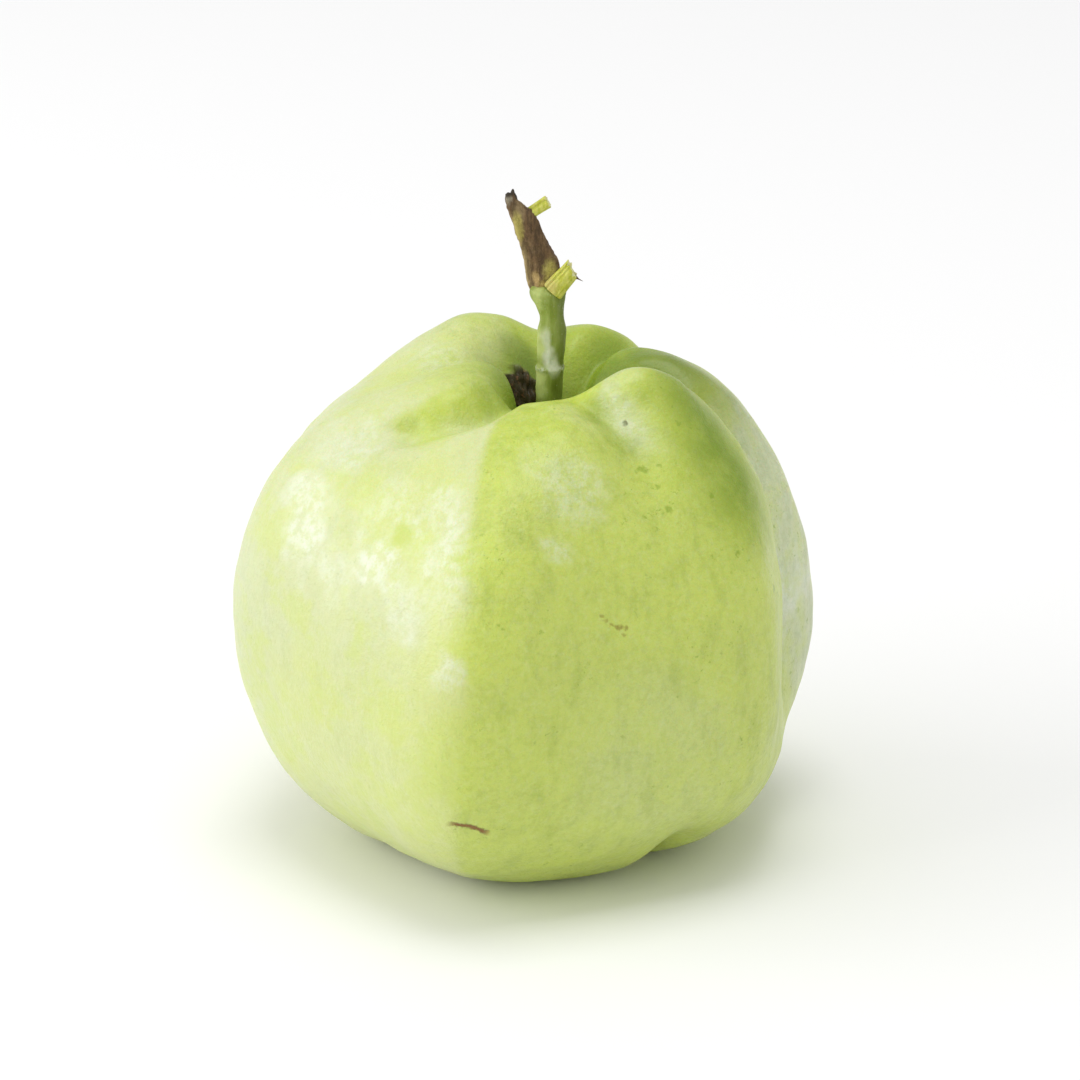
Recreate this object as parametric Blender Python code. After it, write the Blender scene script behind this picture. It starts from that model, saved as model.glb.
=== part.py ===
"""A ribbed green guava standing on its blossom end, with its stalk and a torn bit of twig.

Every length is in millimetres and every angle in degrees until mesh_object scales to metres.
Azimuth 0 is the front of the fruit (-Y) and grows towards its right (+X). The polar angle is
0 at the stalk and 180 at the blossom end.
"""

from collections import namedtuple

import bmesh
import bpy
import numpy as np

METRES = 0.001
GAP = 0.3

# The fruit's centre line, measured from the middle of the whole object's box.
AXIS_X = -0.5
AXIS_Y = 3.3

# The body: a rounded solid of two half profiles that meet at the widest height.
FRUIT_RADIUS = 46.4
WIDEST_HEIGHT = 37.35
CROWN_RISE = 46.0
BASE_DROP = 39.0
CROWN_ROUNDNESS = 2.25
BASE_ROUNDNESS = 2.42
BASE_FULLER_BY = 0.15
BASE_FULLER_TOWARDS = 60.0

# The hollow that the stalk grows out of and its flat seat, the side towards which the hollow is
# narrower, and how far the crown leans.
CAVITY_DEPTH = 24.5
CAVITY_SEAT = 2.6
CAVITY_RADIUS = 8.2
CAVITY_STEEPNESS = 1.6
CAVITY_NARROWER_BY = 0.62
CAVITY_NARROWER_TOWARDS = -84.0
CAVITY_NARROWER_WIDTH = 40.0
CROWN_LEAN_X = 4.6
CROWN_LEAN_Y = 1.0
LEAN_STEEPNESS = 3.5
LEAN_FULL_AT = 0.9

# The shallow basin that holds the dry calyx.
BASIN_DEPTH = 7.0
BASIN_RADIUS = 13.0

# The flats between the ribs: azimuth, and distance as a share of the fruit's radius.
Flat = namedtuple("Flat", "azimuth distance")
FLATS = (
    Flat(-43, 0.97),
    Flat(29, 0.965),
    Flat(87, 0.98),
    Flat(134, 1.0),
    Flat(-175, 0.955),
    Flat(-112, 0.965),
)
RIB_TIGHTNESS = 9.5
RIB_EASING = 0.6
RIB_TWIST = 0.11
TWIST_FROM = 60.0

# The lobes around the crown: how much each rises at the shoulder and bulges at the side. Near the
# hollow a lobe has turned by its swing from the azimuth that it has lower down.
Lobe = namedtuple("Lobe", "azimuth swing width rise bulge bulge_at")
LOBES = (
    Lobe(-12, 0, 10, 0.0, 1.1, 78),
    Lobe(14, -8, 18, 0.7, 0.0, 90),
    Lobe(56, -20, 18, 4.0, 0.0, 90),
    Lobe(74, 0, 14, 0.0, -2.2, 85),
    Lobe(112, 18, 17, -0.6, 4.4, 101),
    Lobe(157, 12, 20, 1.2, 0.0, 90),
    Lobe(-149, 0, 24, 3.8, -0.8, 50),
    Lobe(-80, 0, 26, -0.2, -3.2, 100),
)
SHOULDER_AT = 30.0
SHOULDER_WIDTH = 24.0
BULGE_WIDTH = 40.0

# The feet that the fruit rests on: how far each bulges out and drops.
Foot = namedtuple("Foot", "azimuth width out drop")
FEET = (
    Foot(6, 30, 1.4, 1.3),
    Foot(76, 22, 3.2, 1.6),
    Foot(128, 18, 2.0, 1.7),
    Foot(-160, 26, 0.4, 2.3),
    Foot(-84, 28, 0.0, 1.8),
)
FOOT_OUT_AT = 138.0
FOOT_OUT_WIDTH = 22.0
FOOT_DROP_AT = 153.0
FOOT_DROP_WIDTH = 14.0

# The furrows that run out of the hollow: where each ends, how far it has turned at the hollow
# and at which polar angle it turns, how wide and deep it is, and where it starts and ends.
Furrow = namedtuple("Furrow", "azimuth swing turn_at width depth start reach")
FURROWS = (
    Furrow(-58, 28, 36, 11, 4.8, 12, 50),
    Furrow(-9, 0, 26, 9, 0.8, 16, 46),
    Furrow(32, -26, 27, 9, 2.6, 18, 62),
    Furrow(88, 18, 26, 8, 4.5, 0, 125),
    Furrow(134, 20, 26, 9, 4.0, 0, 60),
    Furrow(-177, 0, 26, 13, 1.4, 0, 50),
    Furrow(-84, -40, 18, 14, 1.8, 6, 40),
)
LOBE_TURN_AT = 26.0
TURN_WIDTH = 8.0
FURROW_RISE = 12.0
FURROW_FADE = 24.0

# The notches between the feet.
Notch = namedtuple("Notch", "azimuth width depth")
NOTCHES = (Notch(44, 6, 3.5), Notch(104, 9, 2.0), Notch(160, 10, 2.0), Notch(-120, 12, 1.5))
NOTCH_AT = 144.0
NOTCH_WIDTH = 15.0
DENT_INWARD = 0.8
CREST_RADIUS = 9.0
CREST_STEEPNESS = 1.5

# Low swellings and flats of the skin: where each lies, how wide it is, and its height.
Swelling = namedtuple("Swelling", "azimuth polar width height")
SWELLINGS = (
    Swelling(-84, 12, 8.5, -2.3),
    Swelling(50, 22, 10, 0.7),
    Swelling(30, 22, 7, 1.2),
    Swelling(2, 20, 10, -0.6),
    Swelling(80, 30, 9, -1.2),
    Swelling(62, 42, 13, -1.3),
    Swelling(-90, 72, 18, -1.0),
    Swelling(-88, 113, 14, -1.0),
    Swelling(-72, 137, 14, 0.8),
    Swelling(80, 128, 16, 1.0),
    Swelling(28, 147, 10, 0.7),
)

# How finely the fruit is cut up; rings crowd together at the crown and at the feet.
FRUIT_SEGMENTS = 88
FRUIT_RINGS = 44
Crowding = namedtuple("Crowding", "amount polar width")
CROWDINGS = (Crowding(2.2, 16, 18), Crowding(1.8, 152, 12))
FINE_STEPS = 2000

# The stalk: the middle, half width and half depth of its cross-section at each height.
Section = namedtuple("Section", "x y z half_width half_depth")
CAVITY_FLOOR = WIDEST_HEIGHT + CROWN_RISE - CAVITY_DEPTH
STALK_RADIUS = 2.2
STALK_TOP = 92.2
STALK_SECTIONS = (
    Section(4.6, 1.0, CAVITY_FLOOR + GAP, STALK_RADIUS, STALK_RADIUS),
    Section(4.4, 1.0, 66.0, 2.15, 2.15),
    Section(4.4, 1.0, 75.0, 2.1, 2.1),
    Section(4.6, 1.0, 80.4, 2.15, 2.1),
    Section(4.9, 1.0, 85.5, 2.2, 2.1),
    Section(4.85, 1.0, 88.1, 1.9, 2.0),
    Section(4.6, 1.0, 89.6, 2.2, 2.2),
    Section(4.25, 1.0, 91.1, 2.75, 2.5),
    Section(4.1, 1.0, STALK_TOP, 2.85, 2.4),
)

# The torn bit of twig above the stalk, flattened and leaning to the left.
TWIG_SECTIONS = (
    Section(3.85, 2.2, STALK_TOP + GAP, 2.3, 1.2),
    Section(3.5, 2.2, 94.4, 2.65, 1.3),
    Section(3.2, 2.1, 96.6, 2.8, 1.4),
    Section(2.3, 2.0, 98.9, 2.4, 1.5),
    Section(1.3, 1.8, 101.4, 2.2, 1.5),
    Section(0.45, 1.6, 103.9, 2.0, 1.4),
    Section(-0.3, 1.5, 105.5, 1.7, 1.3),
    Section(-1.2, 1.3, 106.6, 1.15, 1.1),
    Section(-1.55, 1.2, 107.7, 0.85, 0.9),
    Section(-1.45, 1.1, 108.5, 0.35, 0.4),
)

# The two broken stubs: a start, an end, and the half width and half depth across the run.
Stub = namedtuple("Stub", "start end half_width half_depth")
LOWER_STUB = Stub((5.3, -0.4, 93.6), (8.0, -0.7, 96.4), (1.1, 1.55), (0.8, 0.9))
UPPER_STUB = Stub((2.0, 1.6, 105.2), (4.1, 1.5, 106.8), (0.8, 0.9), (0.8, 0.85))
STUB_RINGS = 4

# The dry calyx in the basin: five sepals around a style.
SEPAL_COUNT = 5
SEPAL_FIRST_AZIMUTH = 20.0
SEPAL_ROOT = 4.2
SEPAL_REACH = 6.2
SEPAL_HALF_WIDTH = 2.0
SEPAL_HALF_THICKNESS = 0.35
SEPAL_UNEVENNESS = 0.12
SEPAL_UNEVEN_STEP = 2.4
SEPAL_SAG = 0.5
SEPAL_TIP_HALF_WIDTH = 0.15
SEPAL_THINNING = 0.6
SEPAL_RINGS = 7
STYLE_RADIUS = 0.7
STYLE_LENGTH = 2.8
STYLE_TAPER = ((0.0, 1.0), (0.6, 0.7), (1.0, 0.4))
BASIN_FROM = 120.0
BASIN_STEPS = 600

# How many sides each tube has.
STALK_SIDES = 20
TWIG_SIDES = 16
STUB_SIDES = 12
SEPAL_SIDES = 8
STYLE_SIDES = 10

SKIN_GREEN = (0.55, 0.63, 0.16)
STALK_GREEN = (0.20, 0.30, 0.06)
BARK_BROWN = (0.10, 0.055, 0.022)
TORN_YELLOW = (0.52, 0.55, 0.12)
DRY_BROWN = (0.09, 0.05, 0.025)


def bell(distance, width):
    """A bell curve: 1 at distance 0, falling as exp of minus the square of distance / width."""
    return np.exp(-((distance / width) ** 2))


def fade(share):
    """A smooth step: 0 below 0, 1 above 1, and 3s^2 - 2s^3 between."""
    share = np.clip(share, 0.0, 1.0)
    return share * share * (3.0 - 2.0 * share)


def around(azimuth, centre):
    """The signed angle from centre to azimuth, between -180 and 180."""
    return (azimuth - centre + 180.0) % 360.0 - 180.0


def rib_outline(azimuth):
    """A rounded polygon: the p-norm of the six flats' half planes, as a share of the radius."""
    total = 0.0
    for flat in FLATS:
        facing = np.maximum(0.0, np.cos(np.radians(azimuth - flat.azimuth)))
        total = total + (facing / flat.distance) ** RIB_TIGHTNESS
    return total ** (-1.0 / RIB_TIGHTNESS)


def body_profile(azimuth, polar):
    """Radius and height of the plain body: a superellipse whose plan is the rounded polygon."""
    sine = np.sin(np.radians(polar))
    cosine = np.cos(np.radians(polar))
    lean = BASE_FULLER_BY * np.cos(np.radians(azimuth - BASE_FULLER_TOWARDS))
    power = np.where(cosine > 0.0, CROWN_ROUNDNESS, BASE_ROUNDNESS + lean)
    half_height = np.where(cosine > 0.0, CROWN_RISE, BASE_DROP)
    unit = (np.abs(sine) ** power + np.abs(cosine) ** power) ** (-1.0 / power)
    turned = azimuth + RIB_TWIST * (polar - TWIST_FROM)
    plan = 1.0 + (rib_outline(turned) - 1.0) * np.abs(sine) ** RIB_EASING
    return FRUIT_RADIUS * plan * sine * unit, half_height * cosine * unit


def lane(feature, turn_at, polar):
    """The azimuth that a lobe or furrow has reached: half a tanh wave over its swing."""
    turned = 0.5 - 0.5 * np.tanh((polar - turn_at) / TURN_WIDTH)
    return feature.azimuth + feature.swing * turned


def furrow_depth(azimuth, polar, near_axis):
    """How deep the furrows and notches cut at a place: bells across, smooth fades along."""
    depth = 0.0
    for furrow in FURROWS:
        across = bell(around(azimuth, lane(furrow, furrow.turn_at, polar)), furrow.width)
        along = fade((furrow.reach - polar) / FURROW_FADE)
        along = along * fade((polar - furrow.start) / FURROW_RISE)
        depth = depth + furrow.depth * across * along * near_axis
    for notch in NOTCHES:
        across = bell(around(azimuth, notch.azimuth), notch.width)
        depth = depth + notch.depth * across * bell(polar - NOTCH_AT, NOTCH_WIDTH)
    return depth


def fruit_surface(azimuth, polar):
    """The fruit's surface: body, plus lobes and feet, less furrows, cavity and basin."""
    sine = np.sin(np.radians(polar))
    cosine = np.cos(np.radians(polar))
    radius, height = body_profile(azimuth, polar)
    near_axis = np.minimum(1.0, (radius / CREST_RADIUS) ** CREST_STEEPNESS)
    for lobe in LOBES:
        across = bell(around(azimuth, lane(lobe, LOBE_TURN_AT, polar)), lobe.width)
        height = height + lobe.rise * across * bell(polar - SHOULDER_AT, SHOULDER_WIDTH) * near_axis
        radius = radius + lobe.bulge * across * bell(polar - lobe.bulge_at, BULGE_WIDTH) * sine
    for foot in FEET:
        across = bell(around(azimuth, foot.azimuth), foot.width)
        radius = radius + foot.out * across * bell(polar - FOOT_OUT_AT, FOOT_OUT_WIDTH) * sine
        height = height - foot.drop * across * bell(polar - FOOT_DROP_AT, FOOT_DROP_WIDTH)
    for swelling in SWELLINGS:
        width = swelling.width / np.sin(np.radians(swelling.polar))
        across = bell(around(azimuth, swelling.azimuth), width)
        swell = swelling.height * across * bell(polar - swelling.polar, swelling.width) * near_axis
        radius = radius + swell * sine
        height = height + swell * cosine
    depth = furrow_depth(azimuth, polar, near_axis)
    radius = np.maximum(radius - depth * sine * DENT_INWARD, 0.0)
    height = height - depth * cosine
    off_narrow = around(azimuth, CAVITY_NARROWER_TOWARDS)
    narrower = CAVITY_NARROWER_BY * bell(off_narrow, CAVITY_NARROWER_WIDTH)
    hollow = np.maximum(radius - CAVITY_SEAT, 0.0) / (CAVITY_RADIUS * (1.0 - narrower))
    cavity = CAVITY_DEPTH * np.exp(-(hollow**CAVITY_STEEPNESS))
    basin = BASIN_DEPTH * bell(radius, BASIN_RADIUS)
    height = WIDEST_HEIGHT + height + np.where(cosine > 0.0, -cavity, basin)
    lean = np.clip(cosine / LEAN_FULL_AT, 0.0, 1.0) ** LEAN_STEEPNESS
    x = AXIS_X + radius * np.sin(np.radians(azimuth)) + CROWN_LEAN_X * lean
    y = AXIS_Y - radius * np.cos(np.radians(azimuth)) + CROWN_LEAN_Y * lean
    return np.stack([x, y, np.maximum(height, 0.0)], axis=-1)


def ring_angles(count):
    """Polar angles of the rings, closer together around the crown and the feet."""
    fine = np.linspace(0.0, 180.0, FINE_STEPS + 1)
    density = 1.0
    for crowding in CROWDINGS:
        density = density + crowding.amount * bell(fine - crowding.polar, crowding.width)
    filled = np.cumsum(density)
    filled = (filled - filled[0]) / (filled[-1] - filled[0])
    return np.interp(np.linspace(0.0, 1.0, count + 1), filled, fine)


def make_material(name, colour, roughness):
    """A Principled material with one colour and roughness and no metal."""
    material = bpy.data.materials.new(name)
    material.use_nodes = True
    surface = material.node_tree.nodes["Principled BSDF"]
    surface.inputs["Base Color"].default_value = (*colour, 1.0)
    surface.inputs["Roughness"].default_value = roughness
    surface.inputs["Metallic"].default_value = 0.0
    return material


def mesh_object(name, shape, material):
    """Link a bmesh to the scene as one smooth object, scaled to metres and facing outwards."""
    bmesh.ops.recalc_face_normals(shape, faces=shape.faces)
    bmesh.ops.scale(shape, vec=(METRES, METRES, METRES), verts=shape.verts)
    mesh = bpy.data.meshes.new(name)
    shape.to_mesh(mesh)
    shape.free()
    for polygon in mesh.polygons:
        polygon.use_smooth = True
    mesh.materials.append(material)
    made = bpy.data.objects.new(name, mesh)
    bpy.context.scene.collection.objects.link(made)
    return made


def join_rings(shape, rings):
    """Bridge each ring of vertices to the next with quads."""
    for lower, upper in zip(rings[:-1], rings[1:]):
        for i in range(len(lower)):
            j = (i + 1) % len(lower)
            shape.faces.new((lower[i], lower[j], upper[j], upper[i]))


def close_ring(shape, ring, point):
    """Close a ring of vertices with a fan of triangles to one point."""
    tip = shape.verts.new(point)
    for i in range(len(ring)):
        j = (i + 1) % len(ring)
        shape.faces.new((ring[i], ring[j], tip))


def make_fruit(material):
    """The fruit: rings of its surface from the stalk's seat down to the blossom end."""
    angles = ring_angles(FRUIT_RINGS)
    azimuths = np.arange(FRUIT_SEGMENTS) * 360.0 / FRUIT_SEGMENTS
    shape = bmesh.new()
    rings = []
    for polar in angles[1:-1]:
        points = fruit_surface(azimuths, np.full_like(azimuths, polar))
        rings.append([shape.verts.new(point) for point in points])
    join_rings(shape, rings)
    for ring, polar in ((rings[0], angles[0]), (rings[-1], angles[-1])):
        close_ring(shape, ring, fruit_surface(np.array(0.0), np.array(polar)))
    return mesh_object("fruit", shape, material)


def sweep(name, stations, sides, material):
    """A closed tube: at each station, centre + across * cos + through * sin, with fan ends."""
    turn = np.arange(sides) * 2.0 * np.pi / sides
    shape = bmesh.new()
    rings = []
    for centre, across, through in stations:
        points = centre + np.outer(np.cos(turn), across) + np.outer(np.sin(turn), through)
        rings.append([shape.verts.new(point) for point in points])
    join_rings(shape, rings)
    close_ring(shape, rings[0], stations[0][0])
    close_ring(shape, rings[-1], stations[-1][0])
    return mesh_object(name, shape, material)


def level_stations(sections):
    """Stations for a tube whose cross-sections all lie level."""
    stations = []
    for section in sections:
        centre = np.array((section.x + AXIS_X, section.y + AXIS_Y, section.z))
        across = np.array((section.half_width, 0.0, 0.0))
        stations.append((centre, across, np.array((0.0, section.half_depth, 0.0))))
    return stations


def stub_stations(stub):
    """Stations square to a straight run from the stub's start to its end."""
    offset = np.array((AXIS_X, AXIS_Y, 0.0))
    start = np.array(stub.start) + offset
    run = np.array(stub.end) + offset - start
    along = run / np.linalg.norm(run)
    depth_way = np.cross(along, np.array((0.0, 0.0, 1.0)))
    depth_way = depth_way / np.linalg.norm(depth_way)
    width_way = np.cross(depth_way, along)
    stations = []
    for share in np.linspace(0.0, 1.0, STUB_RINGS):
        half_width = np.interp(share, (0.0, 1.0), stub.half_width)
        half_depth = np.interp(share, (0.0, 1.0), stub.half_depth)
        stations.append((start + run * share, width_way * half_width, depth_way * half_depth))
    return stations


def basin_height(radius):
    """Height of the basin's roof at a distance from the fruit's centre line."""
    polar = np.linspace(BASIN_FROM, 180.0, BASIN_STEPS)
    x, y, z = fruit_surface(np.zeros_like(polar), polar).T
    return np.interp(radius, np.hypot(x - AXIS_X, y - AXIS_Y)[::-1], z[::-1])


def sepal_stations(azimuth, length):
    """Stations along one sepal: it hugs the basin's roof outwards and thins to its tip."""
    outward = np.array((np.sin(np.radians(azimuth)), -np.cos(np.radians(azimuth)), 0.0))
    sideways = np.array((-outward[1], outward[0], 0.0))
    clearance = GAP + 2.0 * SEPAL_HALF_THICKNESS
    stations = []
    for share in np.linspace(0.0, 1.0, SEPAL_RINGS):
        reach = SEPAL_ROOT + length * share
        height = basin_height(reach) - clearance - SEPAL_SAG * np.sin(np.pi * share)
        centre = np.array((AXIS_X, AXIS_Y, height)) + outward * reach
        width = SEPAL_HALF_WIDTH * (1.0 - share**2) + SEPAL_TIP_HALF_WIDTH
        thickness = SEPAL_HALF_THICKNESS * (1.0 - SEPAL_THINNING * share)
        stations.append((centre, sideways * width, np.array((0.0, 0.0, thickness))))
    return stations


def make_calyx(material):
    """Five sepals of slightly different lengths, and the style between them."""
    for number in range(SEPAL_COUNT):
        azimuth = SEPAL_FIRST_AZIMUTH + 360.0 * number / SEPAL_COUNT
        length = SEPAL_REACH * (1.0 + SEPAL_UNEVENNESS * np.cos(SEPAL_UNEVEN_STEP * number))
        sweep(f"sepal_{number + 1}", sepal_stations(azimuth, length), SEPAL_SIDES, material)
    top = basin_height(0.0) - GAP
    stations = []
    for share, thickness in STYLE_TAPER:
        centre = np.array((AXIS_X, AXIS_Y, top - STYLE_LENGTH * share))
        radius = STYLE_RADIUS * thickness
        stations.append((centre, np.array((radius, 0.0, 0.0)), np.array((0.0, radius, 0.0))))
    sweep("style", stations, STYLE_SIDES, material)


def main():
    for old in list(bpy.data.objects):
        bpy.data.objects.remove(old, do_unlink=True)
    skin = make_material("skin", SKIN_GREEN, 0.35)
    green_stalk = make_material("green_stalk", STALK_GREEN, 0.5)
    bark = make_material("bark", BARK_BROWN, 0.8)
    torn_stem = make_material("torn_stem", TORN_YELLOW, 0.6)
    dry_calyx = make_material("dry_calyx", DRY_BROWN, 0.85)
    make_fruit(skin)
    sweep("peduncle", level_stations(STALK_SECTIONS), STALK_SIDES, green_stalk)
    sweep("woody_spur", level_stations(TWIG_SECTIONS), TWIG_SIDES, bark)
    sweep("lower_stalk_stub", stub_stations(LOWER_STUB), STUB_SIDES, torn_stem)
    sweep("upper_stalk_stub", stub_stations(UPPER_STUB), STUB_SIDES, torn_stem)
    make_calyx(dry_calyx)


main()
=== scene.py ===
"""The looks of a ribbed green guava with its stalk, a torn bit of twig and a dry calyx.

Lengths are millimetres and angles degrees until mesh_piece scales to metres. Azimuth 0 is the
front of the fruit (-Y) and grows towards its right (+X); the polar angle is 0 at the stalk and
180 at the blossom end.
"""

from collections import namedtuple

import bpy
import numpy as np
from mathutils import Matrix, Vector


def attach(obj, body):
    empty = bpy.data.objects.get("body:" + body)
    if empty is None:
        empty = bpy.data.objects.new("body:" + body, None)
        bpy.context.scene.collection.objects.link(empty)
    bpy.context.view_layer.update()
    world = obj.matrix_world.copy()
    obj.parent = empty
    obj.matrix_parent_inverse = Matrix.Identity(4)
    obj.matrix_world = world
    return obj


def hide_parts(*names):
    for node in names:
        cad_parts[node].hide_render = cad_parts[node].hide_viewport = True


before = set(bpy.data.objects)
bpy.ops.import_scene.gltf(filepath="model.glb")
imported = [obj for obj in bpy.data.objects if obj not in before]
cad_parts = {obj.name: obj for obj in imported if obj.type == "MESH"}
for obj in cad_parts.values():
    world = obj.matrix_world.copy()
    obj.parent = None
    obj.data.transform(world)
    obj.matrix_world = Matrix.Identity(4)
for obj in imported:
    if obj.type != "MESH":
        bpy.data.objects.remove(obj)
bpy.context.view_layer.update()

METRES = 0.001

# ---- The fruit's shape: the solid's driving dimensions, apart from SHOULDER_WIDTH ------------

# The fruit's centre line, measured from the middle of the whole object's box.
AXIS_X = -0.5
AXIS_Y = 3.3

# The body: a rounded solid of two half profiles that meet at the widest height.
FRUIT_RADIUS = 46.4
WIDEST_HEIGHT = 37.35
CROWN_RISE = 46.0
BASE_DROP = 39.0
CROWN_ROUNDNESS = 2.25
BASE_ROUNDNESS = 2.42
BASE_FULLER_BY = 0.15
BASE_FULLER_TOWARDS = 60.0

# The hollow that the stalk grows out of and its flat seat, the side towards which the hollow is
# narrower, and how far the crown leans.
CAVITY_DEPTH = 24.5
CAVITY_SEAT = 2.6
CAVITY_RADIUS = 8.2
CAVITY_STEEPNESS = 1.6
CAVITY_NARROWER_BY = 0.62
CAVITY_NARROWER_TOWARDS = -84.0
CAVITY_NARROWER_WIDTH = 40.0
CROWN_LEAN_X = 4.6
CROWN_LEAN_Y = 1.0
LEAN_STEEPNESS = 3.5
LEAN_FULL_AT = 0.9

# The shallow basin that holds the dry calyx.
BASIN_DEPTH = 7.0
BASIN_RADIUS = 13.0

# The flats between the ribs: azimuth, and distance as a share of the fruit's radius.
Flat = namedtuple("Flat", "azimuth distance")
FLATS = (
    Flat(-43, 0.97),
    Flat(29, 0.965),
    Flat(87, 0.98),
    Flat(134, 1.0),
    Flat(-175, 0.955),
    Flat(-112, 0.965),
)
RIB_TIGHTNESS = 9.5
RIB_EASING = 0.6
RIB_TWIST = 0.11
TWIST_FROM = 60.0

# The lobes around the crown: how much each rises at the shoulder and bulges at the side. Near the
# hollow a lobe has turned by its swing from the azimuth that it has lower down.
Lobe = namedtuple("Lobe", "azimuth swing width rise bulge bulge_at")
LOBES = (
    Lobe(-12, 0, 10, 0.0, 1.1, 78),
    Lobe(14, -8, 18, 0.7, 0.0, 90),
    Lobe(56, -20, 18, 4.0, 0.0, 90),
    Lobe(74, 0, 14, 0.0, -2.2, 85),
    Lobe(112, 18, 17, -0.6, 4.4, 101),
    Lobe(157, 12, 20, 1.2, 0.0, 90),
    Lobe(-149, 0, 24, 3.8, -0.8, 50),
    Lobe(-80, 0, 26, -0.2, -3.2, 100),
)
SHOULDER_AT = 30.0
# The fine skin's shoulder is narrower than the solid's, which is 24 degrees wide.
SHOULDER_WIDTH = 12.0
BULGE_WIDTH = 40.0

# The feet that the fruit rests on: how far each bulges out and drops.
Foot = namedtuple("Foot", "azimuth width out drop")
FEET = (
    Foot(6, 30, 1.4, 1.3),
    Foot(76, 22, 3.2, 1.6),
    Foot(128, 18, 2.0, 1.7),
    Foot(-160, 26, 0.4, 2.3),
    Foot(-84, 28, 0.0, 1.8),
)
FOOT_OUT_AT = 138.0
FOOT_OUT_WIDTH = 22.0
FOOT_DROP_AT = 153.0
FOOT_DROP_WIDTH = 14.0

# The furrows that run out of the hollow: where each ends, how far it has turned at the hollow
# and at which polar angle it turns, how wide and deep it is, and where it starts and ends.
Furrow = namedtuple("Furrow", "azimuth swing turn_at width depth start reach")
FURROWS = (
    Furrow(-58, 28, 36, 11, 4.8, 12, 50),
    Furrow(-9, 0, 26, 9, 0.8, 16, 46),
    Furrow(32, -26, 27, 9, 2.6, 18, 62),
    Furrow(88, 18, 26, 8, 4.5, 0, 125),
    Furrow(134, 20, 26, 9, 4.0, 0, 60),
    Furrow(-177, 0, 26, 13, 1.4, 0, 50),
    Furrow(-84, -40, 18, 14, 1.8, 6, 40),
)
LOBE_TURN_AT = 26.0
TURN_WIDTH = 8.0
FURROW_RISE = 12.0
FURROW_FADE = 24.0

# The notches between the feet.
Notch = namedtuple("Notch", "azimuth width depth")
NOTCHES = (Notch(44, 6, 3.5), Notch(104, 9, 2.0), Notch(160, 10, 2.0), Notch(-120, 12, 1.5))
NOTCH_AT = 144.0
NOTCH_WIDTH = 15.0
DENT_INWARD = 0.8
CREST_RADIUS = 9.0
CREST_STEEPNESS = 1.5

# Low swellings and flats of the skin: where each lies, how wide it is, and its height.
Swelling = namedtuple("Swelling", "azimuth polar width height")
SWELLINGS = (
    Swelling(-84, 12, 8.5, -2.3),
    Swelling(50, 22, 10, 0.7),
    Swelling(30, 22, 7, 1.2),
    Swelling(2, 20, 10, -0.6),
    Swelling(80, 30, 9, -1.2),
    Swelling(62, 42, 13, -1.3),
    Swelling(-90, 72, 18, -1.0),
    Swelling(-88, 113, 14, -1.0),
    Swelling(-72, 137, 14, 0.8),
    Swelling(80, 128, 16, 1.0),
    Swelling(28, 147, 10, 0.7),
)

# How finely the skin is cut up; rings crowd together at the crown and at the feet.
SKIN_SEGMENTS = 336
SKIN_RINGS = 280
Crowding = namedtuple("Crowding", "amount polar width")
CROWDINGS = (Crowding(2.2, 16, 18), Crowding(1.8, 152, 12))
FINE_STEPS = 2000


def bell(distance, width):
    """A bell curve: 1 at distance 0, falling as exp of minus the square of distance / width."""
    return np.exp(-((distance / width) ** 2))


def fade(share):
    """A smooth step: 0 below 0, 1 above 1, and 3s^2 - 2s^3 between."""
    share = np.clip(share, 0.0, 1.0)
    return share * share * (3.0 - 2.0 * share)


def after(value, start, softness):
    """0 before a start, rising smoothly to 1 over a softness."""
    return fade((value - start) / softness)


def until(value, end, softness):
    """1 down to 0 at an end, falling smoothly over the softness before it."""
    return fade((end - value) / softness)


def around(azimuth, centre):
    """The signed angle from centre to azimuth, between -180 and 180."""
    return (azimuth - centre + 180.0) % 360.0 - 180.0


def beside(azimuth, centre, width):
    """A bell curve across the azimuths on both sides of a centre."""
    return bell(around(azimuth, centre), width)


def rib_outline(azimuth):
    """A rounded polygon: the p-norm of the six flats' half planes, as a share of the radius."""
    total = 0.0
    for flat in FLATS:
        facing = np.maximum(0.0, np.cos(np.radians(azimuth - flat.azimuth)))
        total = total + (facing / flat.distance) ** RIB_TIGHTNESS
    return total ** (-1.0 / RIB_TIGHTNESS)


def body_profile(azimuth, polar):
    """Radius and height of the plain body: a superellipse whose plan is the rounded polygon."""
    sine = np.sin(np.radians(polar))
    cosine = np.cos(np.radians(polar))
    lean = BASE_FULLER_BY * np.cos(np.radians(azimuth - BASE_FULLER_TOWARDS))
    power = np.where(cosine > 0.0, CROWN_ROUNDNESS, BASE_ROUNDNESS + lean)
    half_height = np.where(cosine > 0.0, CROWN_RISE, BASE_DROP)
    unit = (np.abs(sine) ** power + np.abs(cosine) ** power) ** (-1.0 / power)
    turned = azimuth + RIB_TWIST * (polar - TWIST_FROM)
    plan = 1.0 + (rib_outline(turned) - 1.0) * np.abs(sine) ** RIB_EASING
    return FRUIT_RADIUS * plan * sine * unit, half_height * cosine * unit


def lane(feature, turn_at, polar):
    """The azimuth that a lobe or furrow has reached: half a tanh wave over its swing."""
    turned = 0.5 - 0.5 * np.tanh((polar - turn_at) / TURN_WIDTH)
    return feature.azimuth + feature.swing * turned


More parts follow.
